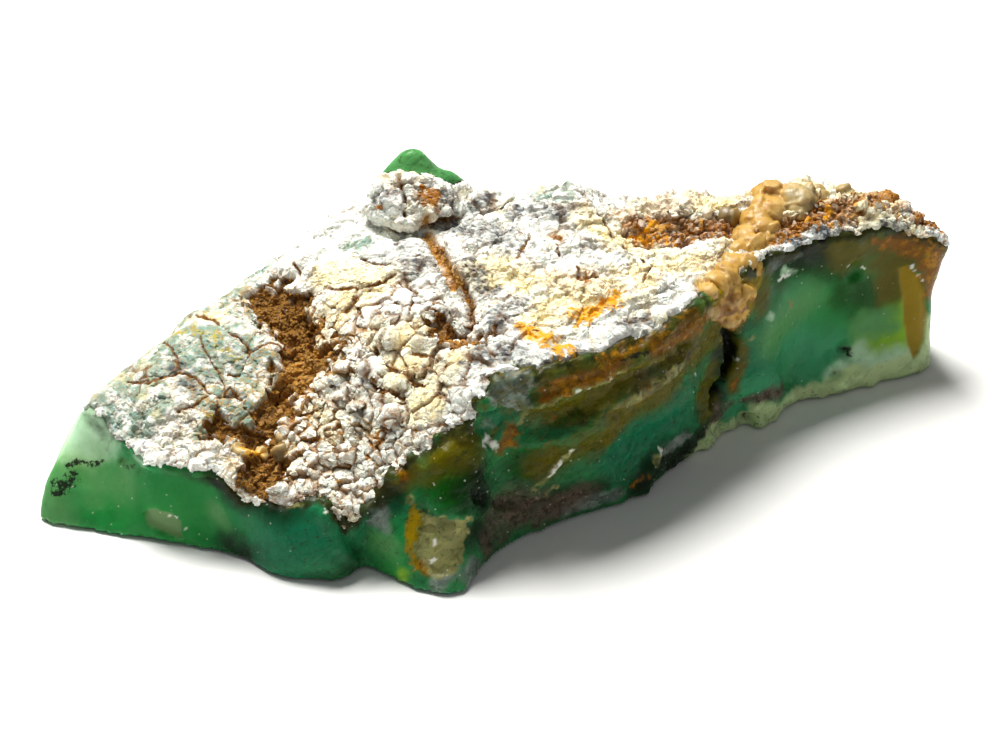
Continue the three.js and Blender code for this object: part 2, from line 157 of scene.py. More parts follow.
# %% Distances to places on the stone
def away(points, path):
    """How far each point lies from a path of straight stretches, or from one place."""
    path = np.array(path, float)
    points = points[:, : path.shape[1]]
    nearest = np.linalg.norm(points - path[0], axis=1)
    for start, end in zip(path[:-1], path[1:]):
        run = end - start
        share = np.clip((points - start) @ run / (run @ run), 0, 1)
        gap = np.linalg.norm(points - start - share[:, None] * run, axis=1)
        nearest = np.minimum(nearest, gap)
    return nearest


def step_up(low, high, value):
    """0 below low, 1 above high, and a smooth rise between."""
    share = np.clip((value - low) / (high - low), 0, 1)
    return share * share * (3 - 2 * share)


def painted(points, places, soft=0.8):
    """1 on the places and 0 away from them. Each place is a reach and a path, and soft is the
    share of the reach over which it fades."""
    return np.max([1 - step_up(1 - soft, 1 + soft, away(points, path) / reach)
                   for reach, *path in places], axis=0)


def crossed(points, start, end):
    """True where a line that runs to the right from a point in the plane crosses a stretch."""
    run = end - start
    spans = (start[1] > points[:, 1]) != (end[1] > points[:, 1])
    return spans & (points[:, 0] < start[0] + (points[:, 1] - start[1]) * run[0] / (run[1] or 1e-9))


def outlined(points, outlines, soft):
    """1 inside closed outlines drawn on the front by x and z, 0 outside, soft mm at the border."""
    flat = points[:, [0, 2]]
    result = np.zeros(len(points))
    for outline in outlines:
        corners = np.array(outline, float)
        inside = np.zeros(len(points), bool)
        for start, end in zip(corners, np.roll(corners, -1, axis=0)):
            inside ^= crossed(flat, start, end)
        gap = away(flat, [*outline, outline[0]])
        result = np.maximum(result, step_up(-soft, soft, np.where(inside, gap, -gap)))
    return result


def wandered(points, amount, size, seed):
    """The points shaken from their places a little, so that what is drawn by them frays."""
    shake = np.stack([ragged(points, size, seed + k) for k in range(3)], axis=1)
    return points + amount * shake


def chipped(points, amount, size, seed):
    """The points moved piece by piece, so that what is drawn by them gets an angular border."""
    return points + amount * (2 * broken(points, size, seed)[0] - 1)


def terraces(height, step, riser=0.3):
    """Turns a smooth height into flat layers with steep risers, as flaked stone has."""
    level = np.floor(height / step)
    part = height / step - level
    return step * (level + step_up(1 - riser, 1, part))


print("heights 0.1, 0.8 and 1.2 in terraces of 1:", terraces(np.array([0.1, 0.8, 1.2]), 1.0).round(2))

# %% [markdown]
# ## The green body's mesh
# The solid is faceted, with corners about 1.5 mm apart. Real chalcedony breaks with soft
# dishes and sharp ridges between them. Subdividing the facets would keep their pattern, so
# the copy is rebuilt on a voxel grid of three tenths of a millimetre, which has even faces
# all over, and then relaxed so that the facets melt while the forms stay.

# %% Rebuild a solid on an even grid
def voxel_copy(mesh, size):
    """The points (mm) and four-sided faces of a voxel remesh of a mesh."""
    copy = bpy.data.objects.new("voxel copy", mesh.copy())
    bpy.context.scene.collection.objects.link(copy)
    remesh = copy.modifiers.new("voxels", "REMESH")
    remesh.mode = "VOXEL"
    remesh.voxel_size = size * MM
    done = copy.evaluated_get(bpy.context.evaluated_depsgraph_get()).to_mesh()
    points = np.empty(len(done.vertices) * 3)
    done.vertices.foreach_get("co", points)
    corners = np.empty(len(done.loops), dtype=np.int64)
    done.loops.foreach_get("vertex_index", corners)
    copy.to_mesh_clear()
    bpy.data.objects.remove(copy)
    return points.reshape(-1, 3) / MM + MIDDLE, corners.reshape(-1, 4)


def edges_of(quads):
    """Each edge once, as a pair of point numbers."""
    pairs = np.concatenate([quads[:, [k, (k + 1) % 4]] for k in range(4)])
    return np.unique(np.sort(pairs, axis=1), axis=0)

# %% Smooth over neighbours
PULL = 0.5
PUSH_BACK = -0.52


def neighbours(edges, count):
    """A function that gives each point the mean of its neighbours' values."""
    shares = np.bincount(edges.ravel(), minlength=count)[:, None]

    def means(values):
        """The mean of the neighbours' values at each point."""
        total = np.stack([
            np.bincount(edges[:, 0], values[edges[:, 1], axis], count)
            + np.bincount(edges[:, 1], values[edges[:, 0], axis], count)
            for axis in range(values.shape[1])
        ], axis=1)
        return total / shares

    return means


def relax(points, edges, rounds):
    """Smooths without shrinking: each pull towards the neighbours is followed by a push back."""
    means = neighbours(edges, len(points))
    for _ in range(rounds):
        for share in (PULL, PUSH_BACK):
            points = points + share * (means(points) - points)
    return points


def spread(values, edges, rounds):
    """Evens out per-point values over their neighbours."""
    means = neighbours(edges, len(values))
    for _ in range(rounds):
        values = 0.5 * (values + means(values))
    return values


print("each round pulls by", PULL, "and pushes back by", -PUSH_BACK)

# %% Find the way out of the surface
def normals_of(points, quads):
    """The way out of the surface at each point."""
    across = points[quads[:, 2]] - points[quads[:, 0]]
    down = points[quads[:, 3]] - points[quads[:, 1]]
    faces = np.cross(across, down)
    total = np.zeros_like(points)
    for axis in range(3):
        for k in range(4):
            total[:, axis] += np.bincount(quads[:, k], faces[:, axis], len(points))
    return total / np.maximum(np.linalg.norm(total, axis=1)[:, None], 1e-9)


def even_normals(points, quads, rounds):
    """The way out of the surface, with the smallest bumps left out of account."""
    soft = spread(normals_of(points, quads), edges_of(quads), rounds)
    return soft / np.maximum(np.linalg.norm(soft, axis=1)[:, None], 1e-9)


def faced_out(points, quads, rounds):
    """The faces turned to look out of the solid that they close, and its evened-out normals."""
    outward = even_normals(points, quads, rounds)
    if ((points - points.mean(axis=0)) * outward).sum() < 0:
        return quads[:, ::-1], -outward
    return quads, outward


VOXEL = 0.3
RELAX_ROUNDS = 11

skin, quads = voxel_copy(stone_node.data, VOXEL)
skin = relax(skin, edges_of(quads), RELAX_ROUNDS)
quads, outward = faced_out(skin, quads, rounds=6)
print("even grid:", len(skin), "points,", len(quads), "faces")

# %% [markdown]
# ## Where the rind grows
# The rind covers the top and hangs a little way down the walls. The rim is the line where
# the two meet, and it is repeated here from the solid's source. Each point gets one number:
# above zero it is on the rind, below zero on bare chalcedony. Whole crumbs are added to or
# taken from that number, so that the border breaks along crumbs and not in a smooth line.

# %% The rim, and the places where the border leaves it
RIM = np.array([
    (-36.2, -4.6, 9.2), (-34.6, -6.2, 9.2), (-30.4, -10.9, 8.5), (-26, -12.1, 8.2),
    (-22, -13.2, 8), (-18.5, -14.5, 7.6), (-14.6, -15.5, 7), (-11.8, -16.2, 6.8),
    (-9.9, -15, 8.5), (-7.7, -14.1, 10), (-5.5, -13.7, 11.8), (-3.4, -13.1, 13.5),
    (-1.5, -12.2, 15.8), (0.4, -11, 17), (3.4, -11.4, 17.3), (7.3, -9.6, 17.2),
    (10.3, -7.5, 17.2), (13.9, -4.9, 17.2), (17.4, -1, 17.4), (19.7, 1.6, 17.5),
    (22, 4.5, 17.6), (24.6, 7.2, 17.5), (27.7, 9.1, 17.6), (31.4, 11.2, 17.5),
    (35, 13, 17.2), (39.2, 14.1, 15.6), (41.8, 15, 13.8), (40.4, 18, 12.6),
    (35.5, 19.6, 14.4), (28, 20.2, 16), (22, 19, 15.6), (15.5, 18.6, 15.3),
    (7.5, 19.6, 15.8), (1, 18.2, 15), (-4, 20, 15.2), (-9, 20.4, 16), (-13.6, 19.4, 14.2),
    (-19, 16.2, 12.2), (-26, 9.8, 9.8), (-32.8, 3.2, 7.6), (-37.6, -2.6, 5.6),
])
HANG = [
    (1.1, (-13.6, -15.8), (-12.8, -15.9)), (1.2, (-22.6, -13), (-21, -13.6)),
    (5.0, (-20, 16), (-28, 8.6)), (5.0, (5, 19.4), (12, 18.8)), (4.0, (33, 19.8), (38, 19.4)),
]
NEAT_EDGE = [(3.2, (3, -11.4), (10.3, -7.5), (17.4, -1), (22, 4.5), (27.7, 9.1), (35, 13), (41, 15))]
EAVES = [(1.3, (-32.6, -8.8), (-30.2, -11.2), (-26, -12.5), (-22, -13.6), (-18.4, -14.9))]
SET_BACK = [
    (1.6, (-10.8, -15.8), (-9.6, -15), (-7.6, -14.2), (-5.4, -13.8)),
    (2.4, (0.6, -11.4), (3.4, -11.4), (7.3, -9.6), (10.3, -7.5), (13.9, -4.9), (17, -1.4)),
]
SEAM_NOTCH = [
    (1.5, (19.2, 0.8, 16.2), (21, 3.4, 15)), (1.0, (-30.6, -11.5, 6.0)), (0.9, (-33.5, -8.6, 6.8)),
]
GREEN_CREST = [
    (2.7, (-8.8, 17.6, 21.2), (-5.6, 17.6, 19.6)), (1.5, (-22, 14, 11.6)), (1.3, (-31.6, 5.6, 8)),
]

print("the rim has", len(RIM), "corners")

# %% Find the rind's border
def to_rim(points):
    """How far inside the rim a point lies in plan, and how high the nearest rim is."""
    gap = np.full(len(points), np.inf)
    height = np.zeros(len(points))
    inside = np.zeros(len(points), bool)
    for start, end in zip(RIM, np.roll(RIM, -1, axis=0)):
        run = end - start
        share = np.clip((points[:, :2] - start[:2]) @ run[:2] / (run[:2] @ run[:2]), 0, 1)
        here = np.linalg.norm(points[:, :2] - start[:2] - share[:, None] * run[:2], axis=1)
        nearer = here < gap
        gap = np.where(nearer, here, gap)
        height = np.where(nearer, start[2] + share * run[2], height)
        inside ^= crossed(points, start, end)
    return np.where(inside, gap, -gap), height


def rind_cover(points, outward):
    """Above zero on the rind, below zero on bare chalcedony, in mm from the border."""
    inside, rim_height = to_rim(points)
    upright = points * np.array([1, 1, 0.75])
    neat = painted(points, NEAT_EDGE, 0.3)
    frayed = upright + 0.2 * np.stack([drift(points, 0.5, 34 + k) for k in range(3)], axis=1)
    crumbs = 1.1 * (broken(frayed, 1.15, 31)[0][:, 1] - 0.5)
    crumbs += 0.3 * (broken(frayed, 0.55, 32)[0][:, 1] - 0.5)
    crumbs = (1 - 0.55 * neat) * (crumbs + 0.6 * ragged(upright, 2.4, 5))
    hang = 0.35 + 1.9 * painted(points, HANG) - 0.2 * neat
    below_rim = points[:, 2] - rim_height + hang
    facing_up = step_up(0.15, 0.5, outward[:, 2]) * step_up(-1.5, -0.5, inside)
    outside = 0.75 + 0.6 * painted(points, HANG) - 0.4 * neat
    outside = outside - 0.8 * painted(points, SET_BACK, 0.4) + 0.9 * painted(points, EAVES, 0.4)
    outside -= 1.2 * step_up(-0.9, -1.6, inside) * (1 - painted(points, [*HANG, *EAVES]))
    cover = np.minimum(inside + outside, below_rim + 6 * facing_up) + crumbs
    low_wall = step_up(3, 5, rim_height - points[:, 2]) * (1 - facing_up)
    cover = np.maximum(cover, 6 * step_up(0.8, 2.6, inside) - 3 - 6 * low_wall)
    bare = painted(wandered(points, 0.6, 1.6, 33), [*GREEN_CREST, *SEAM_NOTCH], 0.3)
    return cover - 8 * bare


cover = rind_cover(skin, outward)
print("the rind covers", round(100 * (cover > 0).mean()), "% of the surface")

# %% [markdown]
# ## Relief of the broken chalcedony
# A break in chalcedony is made of dishes that meet in sharp ridges, as on knapped flint. The
# broken noise gives that: each piece of it becomes one shallow dish. The long front face
# broke across banding instead, so it is stepped and rough, with steps that follow the rim.
# A chip or a stain with a clear border is an outline, drawn on the front by x and z.

# %% Places on the green body
# A place is a reach in mm and a path of points: x and y, or x, y and z. An outline is x and z.
ROUGH_FACE = [
    (6.0, (1, -12, 14), (8, -9, 14), (17, -1, 14)), (6.5, (0, -13, 5), (8, -9, 5), (17, -1, 6)),
]
SMOOTH_PLACES = [(8.0, (-35, -9, 4), (-28, -12.5, 4)), (7.0, (29, 9.6, 9), (36, 12.3, 8))]
RIDGES = [
    (0.5, (6.4, -10.7, 9.4), (5.7, -10.8, 7.7), (4.1, -11, 5.9), (2.8, -11.2, 4.4)),
    (1.2, (16.8, -2.2, 12.7), (14, -5.6, 12.7), (11, -7.8, 12.1), (8, -9.5, 11.1), (3.9, -10.9, 8.7)),
    (0.5, (3.2, -12, 14.4), (6.2, -10.9, 15.1), (10.5, -8.2, 15.4), (14, -5.4, 14.6)),
    (0.6, (14.4, -4.2, 3.4), (12.6, -5.8, 1)), (0.4, (-16.4, -14.9, 7.6), (-15.1, -15.6, 7.1)),
    (0.6, (-15.1, -15.6, 7.1), (-14.9, -17, 6.2), (-14.1, -17.7, 3.8), (-12.8, -17.1, 1.5)),
]
CHIP_OUTLINE = [
    (-6.7, 6.8), (-5.0, 6.4), (-2.5, 5.8), (-2.7, 4.0), (-4.1, 1.7), (-5.9, 1.6), (-7.0, 2.2), (-7.2, 4.3),
]
BEAK_CHIP_OUTLINE = [
    (-31.1, 2.7), (-30.4, 3.2), (-28.7, 2.9), (-28.0, 2.2), (-27.8, 0.7), (-28.5, 0.8), (-29.6, 1.1),
    (-31.0, 1.5),
]
CRESCENT_OUTLINE = [
    (37.3, 11.6), (38.1, 11.9), (39.2, 10.6), (40.0, 8.4), (40.4, 6.1), (40.3, 3.7), (39.8, 2.2),
    (39.3, 1.8), (38.6, 3.6), (38.1, 6.0), (37.9, 8.0), (37.6, 9.7),
]
BAND_OUTLINE = [
    (3.3, 15.6), (4.8, 16.6), (6.4, 16.6), (8.3, 16.8), (9.6, 16.6), (11.0, 16.6), (11.2, 15.8),
    (9.5, 15.2), (7.7, 15.4), (5.8, 15.0), (4.4, 14.6), (3.5, 14.5),
]
SLAB_OUTLINE = [
    (-1.3, 16.1), (-0.3, 17.0), (1.3, 17.3), (2.8, 17.4), (3.2, 16.2), (2.4, 15.2), (3.0, 14.3),
    (1.7, 12.7), (0.4, 13.6), (-0.8, 15.2),
]
DENTS = [
    (0.75, (32.1, 10.8, 4.3)), (0.45, (31.4, 9.8, 2.5)), (0.9, (32.8, 11.7, 12.6)),
    (0.8, (-1.3, -14.7, 6.4)), (0.6, (-2.1, -15.6, 7.4)), (0.5, (-0.2, -13, 4.4), (2, -11.8, 3.4)),
    (0.9, (22.7, 4.4, 1.0)),
]
SLIT_OUTLINE = [
    (20.0, 12.1), (20.7, 12.3), (21.5, 10.4), (21.3, 8.4), (20.8, 7), (20, 5.2), (19.1, 4), (18.8, 4.1),
    (19.5, 5.5), (20.1, 7), (20.4, 8.6), (20.5, 10.2),
]
BUMPY_FOOT = [(3.2, (18, 0.4, 1.6), (23, 4, 1.2), (28, 8, 1), (33, 10.5, 1))]

print(len(RIDGES), "ridges and", len(DENTS), "dents on the green body")

# %% Shape the green body
def green_relief(points, outward, cover, sheltered):
    """How far the bare surface moves outwards, in mm."""
    rough_face = painted(points, ROUGH_FACE)
    calm = 1 - painted(points, SMOOTH_PLACES)
    bent = wandered(points, 1.0, 5, 61)
    _, offset, _ = broken(bent, 6.5, 11)
    dish = 0.2 * np.clip((offset**2).sum(axis=1) / 8 - 0.6, -0.6, 1)
    _, small_offset, _ = broken(bent, 2.4, 17)
    small_dish = 0.07 * np.clip((small_offset**2).sum(axis=1) / 1.2 - 0.5, -0.5, 1)
    layered = wandered(points, 0.5, 2.2, 64) * np.array([0.3, 0.3, 1.0])
    steps = terraces(0.9 * ragged(layered, 2.0, 3), 0.24, riser=0.25) + 0.2 * ragged(points, 1.3, 8)
    tops, clefts, _ = rubble(bent, 1.0, 21, tilt=0.26, step=0.08, gap=0.12)
    shaken = wandered(points, 0.15, 0.5, 68)
    fine_tops, _, _ = rubble(shaken, 0.5, 22, tilt=0.3, step=0.03, gap=0.08)
    bare = dish + calm * (0.4 + 0.6 * rough_face) * small_dish + 0.03 * calm * ragged(points, 0.9, 2)
    bare += rough_face * (0.8 * steps + 0.5 * tops + 0.5 * fine_tops - 0.06 * clefts)
    frayed = wandered(points, 0.3, 1.1, 67)
    front = step_up(0.3, -0.2, outward[:, 1])
    bare += 0.5 * painted(frayed, RIDGES, 0.9) - 0.5 * painted(frayed, DENTS, 0.5)
    bare -= 1.2 * front * outlined(wandered(points, 0.15, 0.8, 69), [SLIT_OUTLINE], 0.2)
    inset = outlined(chipped(points, 0.15, 0.8, 66), [CHIP_OUTLINE, BEAK_CHIP_OUTLINE], 0.12)
    slab = outlined(chipped(points, 0.3, 0.9, 65), [SLAB_OUTLINE], 0.15)
    bare += front * (-0.28 * inset + inset * 0.5 * tops + 0.2 * slab + 0.22 * slab * tops)
    band = outlined(frayed, [BAND_OUTLINE], 0.15)
    crescent = outlined(points, [CRESCENT_OUTLINE], 0.12)
    bare += 0.16 * front * band - 0.2 * front * crescent
    foot = step_up(2.6, 0.3, points[:, 2])
    knobs = np.clip(1 - (broken(wandered(points, 0.4, 1.4, 72), 2.1, 73)[1] ** 2).sum(axis=1) / 1.2, 0, 1)
    bare += 0.45 * foot * (1 - np.abs(ragged(points, 2.6, 71))) - 0.3 * foot
    bare += 0.65 * painted(points, BUMPY_FOOT, 0.5) * knobs
    underside = step_up(0.5, 0.9, -outward[:, 2])
    bare = bare * (1 - underside) - 0.25 * underside * np.clip(ragged(points, 5, 4), 0, 1)
    under = 0.3 * step_up(-0.3, 0.5, sheltered) + 1.2 * step_up(0.4, 1.6, sheltered)
    return np.where(cover > 0, np.minimum(bare, 0), bare) - under


SHELTER_ROUNDS = 14

sheltered = spread(cover[:, None], edges_of(quads), SHELTER_ROUNDS)[:, 0]
body = skin + outward * green_relief(skin, outward, cover, sheltered)[:, None]
body[:, 2] = np.maximum(body[:, 2], 0)
print("body's box in mm:", np.round(body.min(axis=0), 1), np.round(body.max(axis=0), 1))

# %% [markdown]
# ## Colour zones of the chalcedony
# The green isn't one green. Nickel makes it emerald and teal, iron turns it yellow and
# brown near the rind and the cracks, and thin edges are milky. The lighter greens are partly
# painted glow, where light shines through thin stone, and the near-black ones are partly
# painted shade under the rind's edge, in the slit and in the pits. An image texture would need
# drawing, and a single noise wouldn't put the colours where they belong. So each tint is a
# mask made of a few named places with a reach each, frayed by noise, and it is kept on the
# mesh as an attribute that the material reads. Broad tints come first, fine ones last.

# %% Broad tints of the green body
SOFT = 0.9
CRISP = 0.3
BROAD_TINTS = {
    "teal": (SOFT, [
        (4.2, (-17.5, -17.2, 4), (-21, -16.2, 1.6)), (3.4, (11, -7.4, 6), (16, -3, 7)),
        (3.6, (24.4, 5, 7), (22.6, 3.8, 4)), (2.6, (-10.4, -16.6, 4.6)), (3.4, (-23, -13.9, 4.4)),
        (1.6, (0.4, -11.6, 12.4)), (1.5, (4.4, -10.8, 12.2)), (7.0, (-10, 20.2, 7)), (6.0, (20, 18.4, 7)),
    ]),
    # Aqua, emerald and leaf are the stone's own greens, made lighter in places as painted glow where light
    # shines through thin stone.
    "aqua": (SOFT, [
        (4.0, (27.4, 9.3, 7.6), (29, 10, 5.4)), (2.2, (26.8, 8.8, 10)),
        (3.2, (-36, -9, 5), (-30, -11.6, 6)), (2.4, (21.6, 3.6, 3.4), (24.6, 5.4, 3)),
        (5.0, (30, 19.8, 6)), (4.0, (-30, 7, 4)),
    ]),
    "emerald": (SOFT, [
        (4.6, (-34, -10.2, 3), (-26, -12.7, 3)), (2.0, (-9.2, -17.5, 3.6), (-9.4, -17.9, 1.4)),
        (5.0, (-27, 10.5, 5)), (6.0, (4, 19.4, 7)), (1.4, (30, 10.5, 14.2)),
        (3.0, (31, 11, 10), (34.4, 12.3, 9)), (2.0, (34, 12, 11)),
    ]),
    "bottle": (0.7, [
        (2.2, (28.6, 9.7, 14.6), (31.6, 11, 14)), (2.2, (32.6, 11.5, 10.6), (35, 12.6, 8.6)),
        (2.3, (-4.6, -15.8, 9)), (1.8, (-3, -15.4, 9.4)), (1.4, (5, -11, 12.6), (8, -9.4, 13)),
        (2.0, (2, -11.4, 7.4)), (3.5, (-19, 17, 8)), (1.6, (25.4, 7.4, 14.4), (31, 11, 15)),
    ]),
    "leaf": (SOFT, [
        (2.6, (35.4, 12, 4.6), (37.8, 12.6, 3)), (2.2, (36.4, 12.9, 8), (37.4, 13, 5)),
        (0.8, (-8.4, -18.3, 1.2)), (3.0, (-37, -6, 7)),
    ]),
    "olive": (0.7, [
        (2.0, (31.4, 11, 15.6), (34.7, 12.6, 14.8), (36.6, 13.3, 12.6), (37, 13.4, 10)),
        (1.8, (3, -11.6, 13.4), (7, -10.2, 13.6), (12, -7, 14.4)),
        (1.7, (-4.2, -14.8, 11.4), (-2.8, -14.6, 11.6)),
        (2.4, (13.9, -5.4, 15.6), (17.6, -1, 13.4), (20, 2, 13)),
        (1.5, (4, -11.2, 16.6), (10, -8, 16.8), (17.4, -1.2, 16.6), (22, 4.2, 16.4)),
        (1.4, (-8.4, -15, 9), (-5.4, -14.8, 10.6)),
        (2.0, (15.6, -4, 11.4), (9.5, -8.6, 10.4), (4, -11, 7.6)), (0.9, (21.9, 4, 9.6), (21.2, 3.4, 5)),
        (1.3, (23.4, 5.8, 15.6), (22.8, 5, 13)), (4.0, (-14, 19.8, 12), (-20, 16, 10)),
        (1.3, (19.2, 1.6, 8), (18.4, 0.8, 5)),
    ]),
    # Near-black: painted shade under the rind's lip and in the slit; low along the foot it darkens the
    # stone.
    "murk_and_shade": (SOFT, [
        (1.9, (-22.6, -13.8, 7), (-18.6, -15.2, 6.6)), (1.3, (25.3, 7.4, 16.4), (29, 10, 16.6)),
        (1.4, (27, 9, 15.6), (31, 11, 15.6)), (1.5, (-11, -16.8, 6.6), (-9.8, -15.8, 7.8)),
        (1.5, (20.6, 3, 12), (20.2, 2.8, 7), (18.9, 1.6, 4.4)),
        (1.8, (-1.4, -14.6, 6.4), (-2.4, -15.6, 9)), (1.6, (15.4, -2.8, 0.9), (18, -0.4, 1.4)),
        (1.8, (-22, -14, 1), (-14, -17.2, 0.6)), (1.6, (4.4, -10.4, 3), (8, -8.9, 3)),
        (2.0, (12.6, -5.8, 1.2), (16.4, -2.6, 1.8), (19, 0.6, 2.6)),
        (1.3, (-2.2, -16.6, 4), (-1, -14.6, 3)), (1.6, (-20.6, -14.8, 7)),
        (1.0, (-26, -12.3, 6.8), (-22, -13.4, 6.8)),
    ]),
    "slate": (0.6, [
        (1.0, (-18.6, -15.3, 6.9), (-16.3, -15.3, 7.4)), (1.0, (-4.4, -20, 0.6), (-2.2, -17.6, 0.8)),
        (1.0, (-10.8, -16.6, 5.6)), (1.0, (24.2, 6.6, 16.8), (26.8, 8.8, 17)),
        (1.0, (6, -10.4, 1.2), (10, -8, 1.4)), (0.6, (-0.2, -11.7, 12.4)),
        (0.5, (14.4, -4.2, 2.8), (17, -1.6, 3.6)),
    ]),
    "mauve": (0.95, [
        (1.9, (0.4, -13, 3.2), (2.6, -11.6, 3.2)), (1.6, (4, -10.8, 1.8), (7, -9.6, 2.6)),
        (1.2, (-1, -15, 2)), (1.2, (16.4, -3, 13.6), (12.6, -6.6, 12.7)), (0.8, (19.2, 2, 3.4)),
        (1.0, (20.6, 2.6, 3), (19.4, 1.4, 2)), (0.6, (22.4, 3.6, 3), (26, 6.6, 2.6)),
    ]),
}
print("broad tints:", *BROAD_TINTS)

